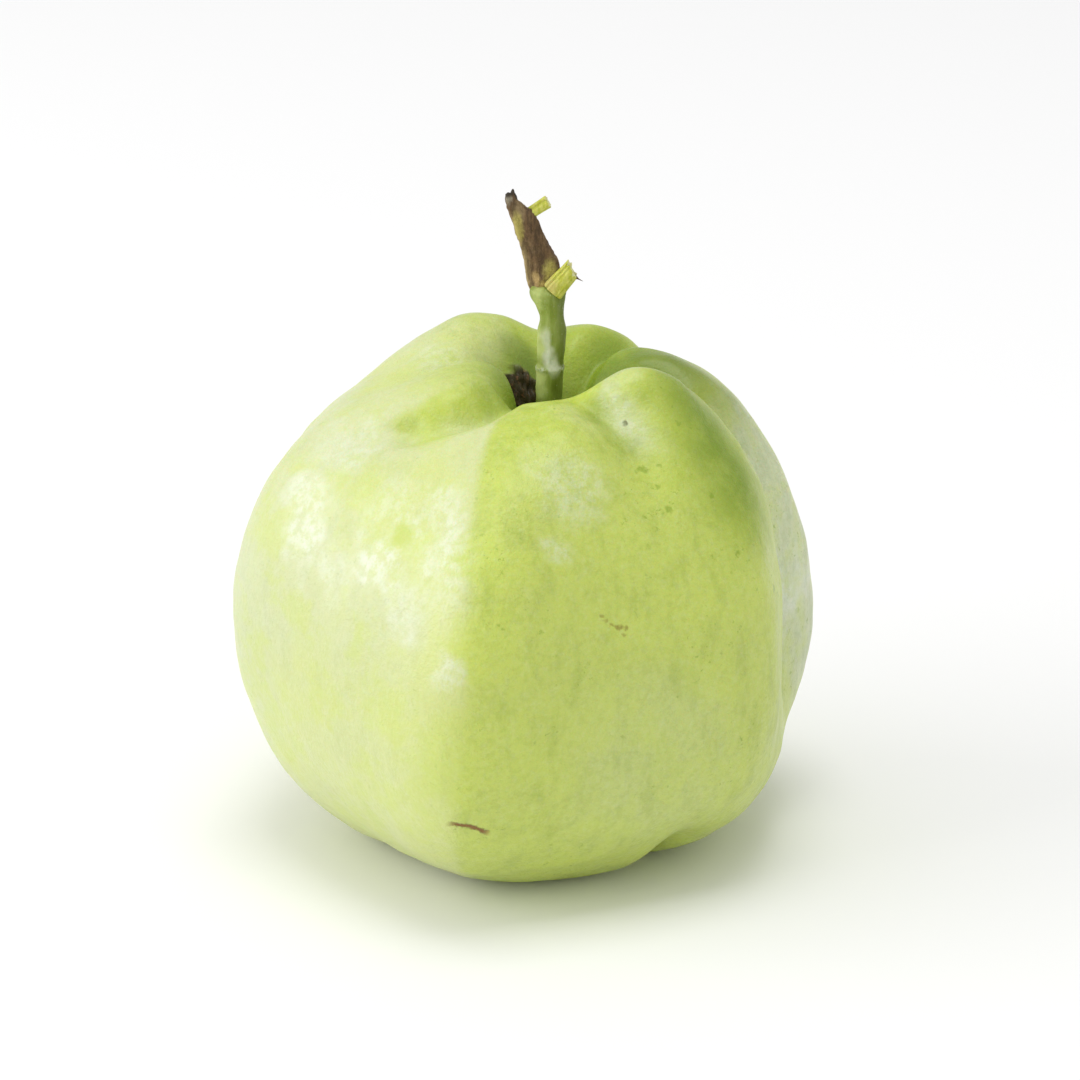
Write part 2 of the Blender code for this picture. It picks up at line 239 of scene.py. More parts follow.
def furrow_depth(azimuth, polar, near_axis):
    """How deep the furrows and notches cut at a place: bells across, smooth fades along."""
    depth = 0.0
    for furrow in FURROWS:
        across = beside(azimuth, lane(furrow, furrow.turn_at, polar), furrow.width)
        along = until(polar, furrow.reach, FURROW_FADE) * after(polar, furrow.start, FURROW_RISE)
        depth = depth + furrow.depth * across * along * near_axis
    for notch in NOTCHES:
        across = beside(azimuth, notch.azimuth, notch.width)
        depth = depth + notch.depth * across * bell(polar - NOTCH_AT, NOTCH_WIDTH)
    return depth


def fruit_surface(azimuth, polar):
    """The fruit's surface: body, plus lobes and feet, less furrows, cavity and basin."""
    sine = np.sin(np.radians(polar))
    cosine = np.cos(np.radians(polar))
    radius, height = body_profile(azimuth, polar)
    near_axis = np.minimum(1.0, (radius / CREST_RADIUS) ** CREST_STEEPNESS)
    for lobe in LOBES:
        across = beside(azimuth, lane(lobe, LOBE_TURN_AT, polar), lobe.width)
        height = height + lobe.rise * across * bell(polar - SHOULDER_AT, SHOULDER_WIDTH) * near_axis
        radius = radius + lobe.bulge * across * bell(polar - lobe.bulge_at, BULGE_WIDTH) * sine
    for foot in FEET:
        across = beside(azimuth, foot.azimuth, foot.width)
        radius = radius + foot.out * across * bell(polar - FOOT_OUT_AT, FOOT_OUT_WIDTH) * sine
        height = height - foot.drop * across * bell(polar - FOOT_DROP_AT, FOOT_DROP_WIDTH)
    for swelling in SWELLINGS:
        width = swelling.width / np.sin(np.radians(swelling.polar))
        across = beside(azimuth, swelling.azimuth, width)
        swell = swelling.height * across * bell(polar - swelling.polar, swelling.width) * near_axis
        radius = radius + swell * sine
        height = height + swell * cosine
    depth = furrow_depth(azimuth, polar, near_axis)
    radius = np.maximum(radius - depth * sine * DENT_INWARD, 0.0)
    height = height - depth * cosine
    narrower = beside(azimuth, CAVITY_NARROWER_TOWARDS, CAVITY_NARROWER_WIDTH)
    cavity_radius = CAVITY_RADIUS * (1.0 - CAVITY_NARROWER_BY * narrower)
    hollow = np.maximum(radius - CAVITY_SEAT, 0.0) / cavity_radius
    cavity = CAVITY_DEPTH * np.exp(-(hollow**CAVITY_STEEPNESS))
    basin = BASIN_DEPTH * bell(radius, BASIN_RADIUS)
    height = WIDEST_HEIGHT + height + np.where(cosine > 0.0, -cavity, basin)
    lean = np.clip(cosine / LEAN_FULL_AT, 0.0, 1.0) ** LEAN_STEEPNESS
    x = AXIS_X + radius * np.sin(np.radians(azimuth)) + CROWN_LEAN_X * lean
    y = AXIS_Y - radius * np.cos(np.radians(azimuth)) + CROWN_LEAN_Y * lean
    return np.stack([x, y, np.maximum(height, 0.0)], axis=-1)


def ring_angles(count):
    """Polar angles of the rings, closer together around the crown and the feet."""
    fine = np.linspace(0.0, 180.0, FINE_STEPS + 1)
    density = 1.0
    for crowding in CROWDINGS:
        density = density + crowding.amount * bell(fine - crowding.polar, crowding.width)
    filled = np.cumsum(density)
    filled = (filled - filled[0]) / (filled[-1] - filled[0])
    return np.interp(np.linspace(0.0, 1.0, count + 1), filled, fine)


# ---- Meshes ----------------------------------------------------------------------------------


def grid_normals(rings):
    """Unit normals of a grid of rings: the cross product of its two central differences."""
    around_way = np.roll(rings, -1, axis=1) - np.roll(rings, 1, axis=1)
    along_way = np.gradient(rings, axis=0)
    normal = np.cross(around_way, along_way)
    length = np.linalg.norm(normal, axis=-1, keepdims=True)
    return normal / np.maximum(length, 1e-12)


def tube_faces(count, sides):
    """Quads between neighbouring rings, and a fan of triangles at each end, as index arrays."""
    ring = np.arange(count - 1)[:, None] * sides
    side = np.arange(sides)[None, :]
    following = (side + 1) % sides
    quads = np.stack([ring + side, ring + following, ring + sides + following, ring + sides + side], -1)
    first = count * sides
    last_ring = (count - 1) * sides
    opening = np.stack([following[0], side[0], np.full(sides, first)], -1)
    closing = np.stack([last_ring + side[0], last_ring + following[0], np.full(sides, first + 1)], -1)
    return quads.reshape(-1, 4), np.concatenate([opening, closing])


def full_turn(sides):
    """The angles, in radians, of the points around a ring."""
    return np.arange(sides) * 2.0 * np.pi / sides


def end_points(rings, beyond=0.0):
    """The middle of the first ring, and a point beyond the middle of the last one."""
    return rings[0].mean(axis=0), rings[-1].mean(axis=0) + beyond


def with_ends(grid, first=0.0, last=0.0):
    """A value for each point of the rings, and one for each of the two end points."""
    return np.append(grid.ravel(), (first, last))


def mesh_piece(name, rings, ends, material, node, attributes=None):
    """A closed smooth mesh through rings of points and an end point at each side of them."""
    count, sides, _ = rings.shape
    points = np.concatenate([rings.reshape(-1, 3), np.array(ends)])
    quads, triangles = tube_faces(count, sides)
    corners = points[quads]
    facing = np.cross(corners[:, 2] - corners[:, 0], corners[:, 3] - corners[:, 1])
    if np.sum(facing * (corners.mean(axis=1) - points.mean(axis=0))) < 0.0:
        quads = quads[:, ::-1]
        triangles = triangles[:, ::-1]
    mesh = bpy.data.meshes.new(name)
    mesh.from_pydata(points * METRES, [], quads.tolist() + triangles.tolist())
    mesh.shade_smooth()
    for key, values in (attributes or {}).items():
        layer = mesh.attributes.new(key, "FLOAT", "POINT")
        layer.data.foreach_set("value", np.ascontiguousarray(values, dtype=np.float32))
    mesh.materials.append(material)
    piece = bpy.data.objects.new(name, mesh)
    bpy.context.scene.collection.objects.link(piece)
    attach(piece, "root")
    if node:
        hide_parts(*node)
    return piece


# A kind of unevenness: how high it is, its random seed, how many waves it sums, the lengths
# between which theirs lie, and the share to which heights are squeezed for upright grain.
Waves = namedtuple("Waves", "height seed count shortest longest upright", defaults=(1.0,))


def unevenness(points, kind):
    """A sum of sine waves in random directions, whose spread is about the kind's height."""
    draw = np.random.default_rng(kind.seed)
    ways = draw.normal(size=(kind.count, 3))
    ways = ways / np.linalg.norm(ways, axis=1, keepdims=True)
    lengths = draw.uniform(kind.shortest, kind.longest, size=kind.count)
    phases = draw.uniform(0.0, 2.0 * np.pi, size=kind.count)
    squeezed = points * (1.0, 1.0, kind.upright)
    angle = squeezed @ (ways * (2.0 * np.pi / lengths)[:, None]).T + phases
    return kind.height * (np.sin(angle).sum(axis=-1) / np.sqrt(kind.count))


# ---- Materials -------------------------------------------------------------------------------

# A grain of a finish: its noise's features per millimetre, detail and roughness, the noise values
# between which it steps up, what it steps from and to, and how it is squeezed along each axis.
Grain = namedtuple(
    "Grain",
    "per_mm detail roughness low high least most squeeze",
    defaults=(3.0, 0.5, 0.35, 0.65, 0.0, 1.0, None),
)


class Finish:
    """A material's node tree, with short calls for the nodes that the finishes are made of."""

    def __init__(self, name):
        self.material = bpy.data.materials.new(name)
        self.material.use_nodes = True
        self.tree = self.material.node_tree
        self.surface = self.tree.nodes["Principled BSDF"]
        self.place = self.vector("SCALE", self.node("TexCoord", "Object"), scale=1.0 / METRES)
        self.colour = None

    def feed(self, socket, value):
        """Link a socket to another one, or set its value."""
        if isinstance(value, bpy.types.NodeSocket):
            self.tree.links.new(value, socket)
        elif isinstance(value, tuple) and socket.type == "RGBA":
            socket.default_value = (*value, 1.0)
        else:
            socket.default_value = value

    def node(self, kind, output, inputs=None, **settings):
        """Add a node with its settings, feed its inputs by name or number, and give an output."""
        node = self.tree.nodes.new(f"ShaderNode{kind}")
        for key, value in settings.items():
            setattr(node, key, value)
        for key, value in (inputs or {}).items():
            if value is not None:
                self.feed(node.inputs[key], value)
        return node.outputs[output]

    def vector(self, operation, first, second=None, scale=None):
        """A Vector Math node's result."""
        output = "Value" if operation == "DISTANCE" else "Vector"
        inputs = {0: first, 1: second, "Scale": scale}
        return self.node("VectorMath", output, inputs, operation=operation)

    def math(self, operation, *values):
        """A Math node's result."""
        return self.node("Math", 0, dict(enumerate(values)), operation=operation)

    def product(self, *values):
        """The product of some values."""
        result = values[0]
        for value in values[1:]:
            result = self.math("MULTIPLY", result, value)
        return result

    def shifts(self, per_mm):
        """Three unlike noises as one vector, for shifting a pattern about."""
        return self.node("TexNoise", "Color", {"Vector": self.place, "Scale": per_mm})

    def noise(self, grain):
        """The plain noise of a grain."""
        place = self.vector("MULTIPLY", self.place, grain.squeeze) if grain.squeeze else self.place
        inputs = {"Vector": place, "Scale": grain.per_mm, "Detail": grain.detail}
        return self.node("TexNoise", "Fac", {**inputs, "Roughness": grain.roughness})

    def grain(self, grain):
        """The stepped noise of a grain."""
        return self.ramp(self.noise(grain), grain.low, grain.high, grain.least, grain.most)

    def dots(self, grain):
        """Scattered dots: a grain's step over the distance to the nearest of many points."""
        distance = self.node("TexVoronoi", "Distance", {"Vector": self.place, "Scale": grain.per_mm})
        return self.ramp(distance, grain.low, grain.high, grain.least, grain.most)

    def attribute(self, name):
        """A value stored on the piece's points."""
        return self.node("Attribute", "Fac", attribute_name=name)

    def ramp(self, value, low, high, least=0.0, most=1.0):
        """A smooth step between two input values, from one output value to another."""
        inputs = {"Value": value, "From Min": low, "From Max": high, "To Min": least, "To Max": most}
        return self.node("MapRange", "Result", inputs, interpolation_type="SMOOTHSTEP")

    def near(self, point, reach, solid, at=None):
        """1 within a solid share of a reach from a point, falling smoothly to 0 at the reach."""
        distance = self.vector("DISTANCE", at or self.place, tuple(point))
        return self.ramp(distance, reach * solid, reach, 1.0, 0.0)

    def blend(self, share, first, second):
        """A mix of two colours."""
        return self.node("Mix", 2, {"Factor": share, 6: first, 7: second}, data_type="RGBA")

    def tint(self, colour, *shares):
        """Lay a colour over the finish's colour so far, by the product of some shares."""
        self.colour = self.blend(self.product(*shares), self.colour, colour)

    def relief(self, height, depth_mm):
        """Feed a height in shares of depth_mm to the surface as a bump."""
        bump = self.node("Bump", "Normal", {"Height": height, "Distance": depth_mm * METRES})
        self.feed(self.surface.inputs["Normal"], bump)

    def set(self, **values):
        """Set or link the shader's own sockets, named with underscores for spaces."""
        for key, value in values.items():
            self.feed(self.surface.inputs[key.replace("_", " ")], value)

    def finished(self, **values):
        """The material, with its colour and its last sockets set."""
        self.set(Base_Color=self.colour, **values)
        return self.material


PAINTED_LIT_PALE = (0.62, 0.665, 0.36)
PALE_LEMON = (0.61, 0.67, 0.25)
GREEN_SKIN = (0.53, 0.62, 0.125)
LEMON_SKIN = (0.57, 0.67, 0.12)
LIME_SKIN = (0.47, 0.58, 0.045)
LEAF_GREEN_AND_SHADE = (0.20, 0.30, 0.010)
PAINTED_SHEEN_SKIN = (0.60, 0.65, 0.42)
PAINTED_HIGHLIGHT_WHITE = (0.79, 0.83, 0.71)
HOLLOW_SHADE_GREEN = (0.21, 0.30, 0.030)
SHADE_GREEN = (0.095, 0.145, 0.015)
CORK_BROWN = (0.045, 0.034, 0.008)
CORK_PINK = (0.17, 0.085, 0.035)
SCAR_BROWN = (0.24, 0.12, 0.025)
BLOSSOM_BROWN = (0.17, 0.125, 0.04)
CRACK_OLIVE = (0.27, 0.22, 0.03)
PIT_GREY = (0.20, 0.22, 0.10)
SPECK_GREEN = (0.20, 0.32, 0.005)

# Where shades of the skin start or end, each with its softness. The side that the window lights is
# painted paler, as painted light; it runs from the back on the left to the front rib, whose
# azimuths are given at some polar angles.
LIT_SIDE_BACK = (-172.0, 60.0)
LIT_SIDE_TOP = (14.0, 20.0)
LIT_SIDE_EDGE_SOFTNESS = 3.6
RIB_POLARS = (30.0, 45.0, 62.0, 85.0, 130.0)
RIB_AZIMUTHS = (-19.0, -14.0, -9.5, -9.0, -14.0)

CROWN_END = (46.0, 26.0)
HOLLOW_SHADE_END = (20.0, 16.0)

# The front right lobe's flank, darker green, partly the skin's own and partly painted shade: its
# azimuth and width, and its start and end.
FLANK_SHADE = (60.0, 13.0)
FLANK_SHADE_START = (14.0, 20.0)
FLANK_SHADE_END = (72.0, 20.0)

# The walls of the hollow, painted darker green as painted shade: azimuth and width, and where each
# ends, how much the left one is in shade, and the ridge on the back one, left lighter where it
# catches the light.
BACK_WALL_SHADE = (134.0, 46.0)
BACK_WALL_SHADE_END = (40.0, 16.0)
LEFT_WALL = (-162.0, 17.0)
LEFT_WALL_END = (23.0, 8.0)
LEFT_WALL_SHADE = 0.45
BACK_RIDGE = (161.0, 7.0)
BACK_RIDGE_STRENGTH = 0.6

# Bands of another shade that run down the skin: how wide each is, the polar angles at which it
# starts, is strongest and ends, and its strength. They are painted shade on the right lobe's
# shoulder, a painted highlight streak down the front right lobe, painted shade in the furrow beside
# it, and a painted highlight beside the rib.
Band = namedtuple("Band", "width polars strength")
SHOULDER_SHADE_BAND = Band(12.0, (8.0, 30.0, 64.0), 0.60)
STREAK_BAND = Band(5.0, (20.0, 30.0, 46.0), 1.0)
FURROW_BAND = Band(4.5, (21.0, 28.0, 38.0), 0.45)
RIB_BAND = Band(4.2, (38.0, 54.0, 76.0), 1.0)
SHOULDER_POLARS = (14.0, 22.0, 30.0, 38.0, 50.0)
SHOULDER_AZIMUTHS = (128.0, 113.0, 104.0, 101.0, 101.0)
STREAK_AZIMUTH = 29.9
STREAK_SLANT = 0.78
FURROW_BESIDE_STREAK = -9.0
HIGHLIGHT_BESIDE_RIB = -5.0

# The shades' values at the two ends of the skin, where they aren't 0.
SHADE_ENDS = {
    "back_wall_shade": (0.5, 0.0),
    "painted_lit_side": (0.5, 0.5),
    "crown": (1.0, 0.0),
    "hollow": (1.0, 0.0),
}

# Round soft spots on the skin: azimuth, polar angle, reach in millimetres and strength. The
# patches have another shade; the pale bloom ones along the edges and the crown's rim are painted
# sheen, and the leaf-green ones in the creases, the dimple, the hollow and on the right flank are
# painted shade. The gleams are painted highlights, and the specks are small marks.
Spot = namedtuple("Spot", "azimuth polar reach strength colour")


def spots(colour, *rows):
    """Spots of one colour."""
    return [Spot(*row, colour) for row in rows]


PATCHES = (
    *spots(PAINTED_SHEEN_SKIN, (-80, 88, 22, 0.50)),
    *spots(PALE_LEMON, (-35, 108, 26, 0.45)),
    *spots(
        PAINTED_SHEEN_SKIN, (97, 42, 7, 0.35), (95, 52, 8, 0.85), (95, 64, 10, 0.85), (95, 79, 14, 0.90),
        (96, 96, 16, 0.90), (116, 72, 30, 0.45), (112, 104, 28, 0.40),
    ),
    *spots(PAINTED_HIGHLIGHT_WHITE, (95, 84, 9, 0.30)),
    *spots(LEAF_GREEN_AND_SHADE, (23, 35, 5, 0.35), (16, 27, 3, 0.30), (-37, 17, 6, 0.45)),
    *spots(PAINTED_SHEEN_SKIN, (37, 23, 5, 0.50)),
    *spots(LEAF_GREEN_AND_SHADE, (-50, 35.5, 2.4, 0.28)),
    *spots(LIME_SKIN, (-49, 34, 6, 0.55), (-45, 29, 6, 0.60), (-41, 24, 6, 0.60)),
    *spots(LEAF_GREEN_AND_SHADE, (-133, 12, 4, 0.35)),
    *spots(PALE_LEMON, (-132, 19, 8, 0.95)),
    *spots(LIME_SKIN, (45, 42, 10, 0.60), (52, 57, 9, 0.50)),
    *spots(PALE_LEMON, (12, 29, 6, 0.45)),
    *spots(LEAF_GREEN_AND_SHADE, (-2, 29, 5, 0.15), (62, 44, 7, 0.35), (48, 33, 6, 0.25)),
    *spots(LEMON_SKIN, (35, 62, 20, 0.50)),
    *spots(PAINTED_SHEEN_SKIN, (30, 108, 22, 0.22)),
    *spots(LEMON_SKIN, (-6, 58, 9, 0.80), (-5, 74, 9, 0.80), (-7, 96, 12, 0.60), (150, 120, 24, 0.40)),
)
# The gleams: painted highlights where the lights reflect on the skin.
PAINTED_HIGHLIGHTS = spots(
    PAINTED_HIGHLIGHT_WHITE, (-60, 56, 7, 0.60), (-54, 63, 7, 0.70), (-57, 70, 5, 0.40), (-37, 52, 7, 0.35),
    (-22, 50, 7, 0.45), (-33, 63, 6, 0.70), (-27, 66, 5, 0.60), (-19, 60, 6, 0.45), (-22, 69, 7, 0.35),
    (-42, 67, 6, 0.40), (-63, 43, 8, 0.35), (-14, 79, 4, 0.50), (-28.4, 56.8, 6, 0.45),
    (-100, 25, 9, 0.30), (1, 40, 6, 0.20), (9, 45, 8, 0.34), (12, 50, 5, 0.28), (6, 57, 4, 0.40),
    (95, 86, 8, 0.30),
)
SPECKS = (
    *spots(PIT_GREY, (31.3, 32.6, 0.55, 0.90)),
    *spots(
        SPECK_GREEN, (61.6, 74.8, 0.95, 0.65), (50.4, 64.1, 0.75, 0.60), (60.0, 54.5, 0.50, 0.50),
        (49.2, 52.3, 0.70, 0.65), (36.4, 52.8, 0.90, 0.60), (34.9, 53.4, 0.60, 0.50),
        (33.6, 43.4, 1.00, 0.60), (32.0, 42.8, 0.70, 0.50), (38.1, 43.7, 0.60, 0.50),
        (31.0, 48.2, 0.55, 0.50), (35.5, 47.7, 0.55, 0.50), (-4.2, 69.4, 0.40, 0.50),
        (-3.3, 70.1, 0.40, 0.50), (12.7, 135.1, 0.60, 0.60), (95.5, 92.2, 0.90, 0.30),
    ),
    *spots(
        CRACK_OLIVE, (16.3, 70.8, 0.60, 0.55), (17.3, 71.9, 0.60, 0.55), (18.5, 73.0, 0.65, 0.65),
        (19.6, 73.5, 0.70, 0.80), (20.6, 73.8, 0.65, 0.75), (21.7, 74.1, 0.60, 0.80),
        (21.2, 75.2, 0.40, 0.50),
    ),
    *spots(GREEN_SKIN, (-28.4, 56.8, 3.0, 0.85), (-27.3, 63.6, 1.9, 0.40)),
    *spots(BLOSSOM_BROWN, (0.0, 179.0, 7.5, 0.80)),
)
PATCH_CORE = 0.4
SPOT_CORE = 0.3

# The skin's grains.
BROAD_GRAIN = Grain(0.05, 2.0)
PALE_STREAKS = Grain(0.30, 4.0, 0.6, 0.44, 0.66, 0.0, 0.30, (1.0, 1.0, 0.30))
LEAF_STREAKS = PALE_STREAKS._replace(low=0.50, high=0.34, most=0.18)
MOTTLE = Grain(0.8, 5.0, 0.75, 0.44, 0.62, 0.0, 0.15)
BLOTCHES = Grain(0.11, 5.0, 0.65, 0.46, 0.62, 0.0, 0.38)
FLECKS = Grain(0.9, 6.0, 0.75, 0.44, 0.70, 0.0, 0.10)
FRECKLE_CLUSTERS = Grain(0.10, 2.0, 0.5, 0.46, 0.62, 0.0, 0.50)
FRECKLES = Grain(1.0, 3.0, 0.65, 0.60, 0.70)
SHADE_CLOUDS = Grain(0.22, 5.0, 0.65, 0.32, 0.62, 0.68)
LACE = Grain(0.55, 5.0, 0.70, 0.38, 0.62, 0.25)
CORK_CRUMBS = Grain(0.9, low=0.55, high=0.72)
SKIN_SHEEN = Grain(0.12, least=0.36, most=0.50)
COARSE_PEEL = Grain(0.6)
FINE_PEEL = Grain(1.9, 2.0, 0.6)
LIT_SIDE_CALM = 0.35
CROWN_LIME = 0.9
RIB_HIGHLIGHT = 0.60
STREAK_HIGHLIGHT = 0.25
STREAK_LACE = 0.35
SCAR_GROOVE = 1.5
CORK_ROUGHNESS = 0.9

# The corky crust on the wall of the hollow, with its rim's distance and softness, the crescent
# scar low on the front, and the dimple.
CRUST_AZIMUTH = -146.0
CRUST_POLAR = 11.9
CRUST_RIM = (4.2, 1.2)
CRUST_HEIGHT = 0.7
SCAR_AZIMUTH = -9.3
SCAR_POLAR = 115.4
SCAR_HALF_LENGTH = 4.2
SCAR_BEND_RADIUS = 7.0
SCAR_LEAN = 0.75
SCAR_THICKNESS = 0.62
SCAR_CORE = 0.5
DIMPLE_AZIMUTH = -50.6
DIMPLE_POLAR = 35.7
DIMPLE_DEPTH = 0.9
DIMPLE_RADIUS = 2.6

# The skin's unevenness, which fades out near the surface that the fruit stands on.
SKIN_SWELLS = Waves(0.16, 5, 26, 9.0, 22.0)
SKIN_RIPPLES = Waves(0.045, 6, 40, 3.5, 7.0)
CRUST_EDGE = Waves(0.7, 31, 12, 2.0, 5.0)
CRUST_CRUMBS = Waves(0.45, 32, 24, 0.9, 2.2)
UNEVEN_ABOVE = (0.2, 3.0)


def skin_place(azimuth, polar):
    """A point of the fruit's skin."""
    return fruit_surface(np.array(float(azimuth)), np.array(float(polar)))


def spot_share(skin, spot, core, at):
    """A round spot: its strength within a core share of its reach, falling to 0 at the reach."""
    share = skin.near(skin_place(spot.azimuth, spot.polar), spot.reach, core, at)
    return skin.product(share, spot.strength)


def scar_mark(skin, at):
    """A crescent scar: near a circle's rim, and within the scar's half length of its middle."""
    middle = skin_place(SCAR_AZIMUTH, SCAR_POLAR)
    below = skin_place(SCAR_AZIMUTH - SCAR_LEAN, SCAR_POLAR + 2.0) - middle
    pivot = middle + below / np.linalg.norm(below) * SCAR_BEND_RADIUS
    distance = skin.vector("DISTANCE", at, tuple(pivot))
    off_rim = skin.math("ABSOLUTE", skin.math("SUBTRACT", distance, SCAR_BEND_RADIUS))
    band = skin.ramp(off_rim, SCAR_THICKNESS * SPOT_CORE, SCAR_THICKNESS, 1.0, 0.0)
    return skin.product(band, skin.near(middle, SCAR_HALF_LENGTH, SCAR_CORE))


def shift_about(skin, per_mm, distance_mm):
    """The place on the skin, moved about by noise so that spots keep no round edge."""
    noise = skin.vector("SUBTRACT", skin.shifts(per_mm), (0.5, 0.5, 0.5))
    return skin.vector("ADD", skin.place, skin.vector("SCALE", noise, scale=distance_mm))


def painted_highlight_share(skin, wander):
    """Painted highlights: the strongest of the gleams and the rib's, broken up like lace, or the
    highlight streak.
    """
    highlight = skin.product(skin.attribute("rib_highlight"), RIB_HIGHLIGHT)
    for spot in PAINTED_HIGHLIGHTS:
        highlight = skin.math("MAXIMUM", highlight, spot_share(skin, spot, SPOT_CORE, wander))
    lace = skin.grain(LACE)
    laced = skin.math("MULTIPLY_ADD", lace, STREAK_LACE, STREAK_HIGHLIGHT)
    highlight_streak = skin.product(skin.attribute("highlight_streak"), laced)
    return skin.math("MAXIMUM", skin.product(highlight, lace), highlight_streak)


def skin_finish():
    """Waxy skin: a side painted paler by light and a green side, patches of other shades, painted sheen
    and painted shade, lacy painted highlights, mottling, specks, scar and cork.
    """
    skin = Finish("guava_skin")
    wander = shift_about(skin, per_mm=0.10, distance_mm=14.0)
    uneven = shift_about(skin, per_mm=0.9, distance_mm=1.4)
    # The side that the window lights is painted paler: painted light.
    lit_pale = skin.blend(skin.grain(BROAD_GRAIN), PALE_LEMON, PAINTED_LIT_PALE)
    green = skin.blend(skin.product(skin.attribute("crown"), CROWN_LIME), GREEN_SKIN, LIME_SKIN)
    skin.colour = skin.blend(skin.attribute("painted_lit_side"), green, lit_pale)
    for patch in PATCHES:
        skin.tint(patch.colour, spot_share(skin, patch, PATCH_CORE, wander))
    greener = skin.ramp(skin.attribute("painted_lit_side"), 0.0, 1.0, 1.0, LIT_SIDE_CALM)
    skin.tint(LEMON_SKIN, skin.grain(PALE_STREAKS), greener)
    skin.tint(LEAF_GREEN_AND_SHADE, skin.grain(LEAF_STREAKS), greener)
    skin.tint(LEAF_GREEN_AND_SHADE, skin.grain(MOTTLE), greener)
    skin.tint(LEMON_SKIN, skin.grain(BLOTCHES))
    # Fine pale flecks in the highlight white: painted glints.
    skin.tint(PAINTED_HIGHLIGHT_WHITE, skin.grain(FLECKS))
    skin.tint(SPECK_GREEN, skin.grain(FRECKLES), skin.grain(FRECKLE_CLUSTERS), greener)
    # Painted shade on the right lobe's flank and on the hollow's walls, clouded by a grain.
    shade_share = skin.math("MAXIMUM", skin.attribute("flank_shade"), skin.attribute("back_wall_shade"))
    skin.tint(LEAF_GREEN_AND_SHADE, shade_share, skin.grain(SHADE_CLOUDS))
    # Painted shade along the right lobe's shoulder and on the hollow's left wall.
    skin.tint(SHADE_GREEN, skin.attribute("shoulder_shade"))
    skin.tint(LEAF_GREEN_AND_SHADE, skin.attribute("furrow_shade"))
    # Painted highlights: the gleams, the rib's and the streak.
    skin.tint(PAINTED_HIGHLIGHT_WHITE, painted_highlight_share(skin, wander))
    # Darker green deep in the hollow: painted shade.
    skin.tint(HOLLOW_SHADE_GREEN, skin.attribute("hollow"))
    for speck in SPECKS:
        skin.tint(speck.colour, spot_share(skin, speck, SPOT_CORE, uneven))
    scar = scar_mark(skin, uneven)
    skin.tint(SCAR_BROWN, scar)
    cork = skin.attribute("cork")
    skin.tint(skin.blend(skin.grain(CORK_CRUMBS), CORK_BROWN, CORK_PINK), cork)
    rough = skin.math("MAXIMUM", skin.grain(SKIN_SHEEN), skin.product(cork, CORK_ROUGHNESS))
    peel = skin.math("ADD", skin.noise(COARSE_PEEL), skin.noise(FINE_PEEL))
    skin.relief(skin.math("SUBTRACT", peel, skin.product(scar, SCAR_GROOVE)), depth_mm=0.16)
    skin.set(Roughness=rough, Subsurface_Weight=0.10, Subsurface_Scale=0.004)
    return skin.finished(Specular_IOR_Level=0.30, Coat_Weight=0.24, Coat_Roughness=0.24)


# ---- The fruit -------------------------------------------------------------------------------


def lit_stretch(polar, span):
    """1 at the middle one of three polar angles, fading smoothly to 0 at the outer two."""
    first, middle, last = span
    return after(polar, first, middle - first) * until(polar, last, last - middle)


def band_shade(azimuth, polar, centre, band):
    """A band down the skin: a bell across it, and a smooth rise and fall along it."""
    return band.strength * beside(azimuth, centre, band.width) * lit_stretch(polar, band.polars)


def skin_shades(azimuth, polar):
    """Where the skin is painted paler by light, darker by shade, or shining with painted highlights:
    products of bells across and fades along.
    """
    rib = np.interp(polar, RIB_POLARS, RIB_AZIMUTHS)
    # The window-lit side, from the back on the left to the front rib, painted paler as painted light.
    painted_lit_side = fade(0.5 - around(azimuth, rib) / LIT_SIDE_EDGE_SOFTNESS)
    painted_lit_side = painted_lit_side * fade(around(azimuth, LIT_SIDE_BACK[0]) / LIT_SIDE_BACK[1])
    flank_shade = beside(azimuth, *FLANK_SHADE) * after(polar, *FLANK_SHADE_START)
    back_wall_shade = beside(azimuth, *BACK_WALL_SHADE) * until(polar, *BACK_WALL_SHADE_END)
    left_wall = beside(azimuth, *LEFT_WALL) * until(polar, *LEFT_WALL_END)
    ridge = BACK_RIDGE_STRENGTH * beside(azimuth, *BACK_RIDGE)
    shoulder_at = np.interp(polar, SHOULDER_POLARS, SHOULDER_AZIMUTHS)
    shoulder_shade = band_shade(azimuth, polar, shoulder_at, SHOULDER_SHADE_BAND)
    streak_at = STREAK_AZIMUTH + STREAK_SLANT * (polar - STREAK_BAND.polars[1])
    return {
        "painted_lit_side": painted_lit_side * after(polar, *LIT_SIDE_TOP),
        "crown": until(polar, *CROWN_END),
        "hollow": until(polar, *HOLLOW_SHADE_END),
        "flank_shade": flank_shade * until(polar, *FLANK_SHADE_END),
        "back_wall_shade": np.maximum(back_wall_shade, left_wall) * (1.0 - ridge),
        "shoulder_shade": np.maximum(shoulder_shade, LEFT_WALL_SHADE * left_wall),
        "highlight_streak": band_shade(azimuth, polar, streak_at, STREAK_BAND),
        "furrow_shade": band_shade(azimuth, polar, streak_at + FURROW_BESIDE_STREAK, FURROW_BAND),
        "rib_highlight": band_shade(azimuth, polar, rib + HIGHLIGHT_BESIDE_RIB, RIB_BAND),
    }


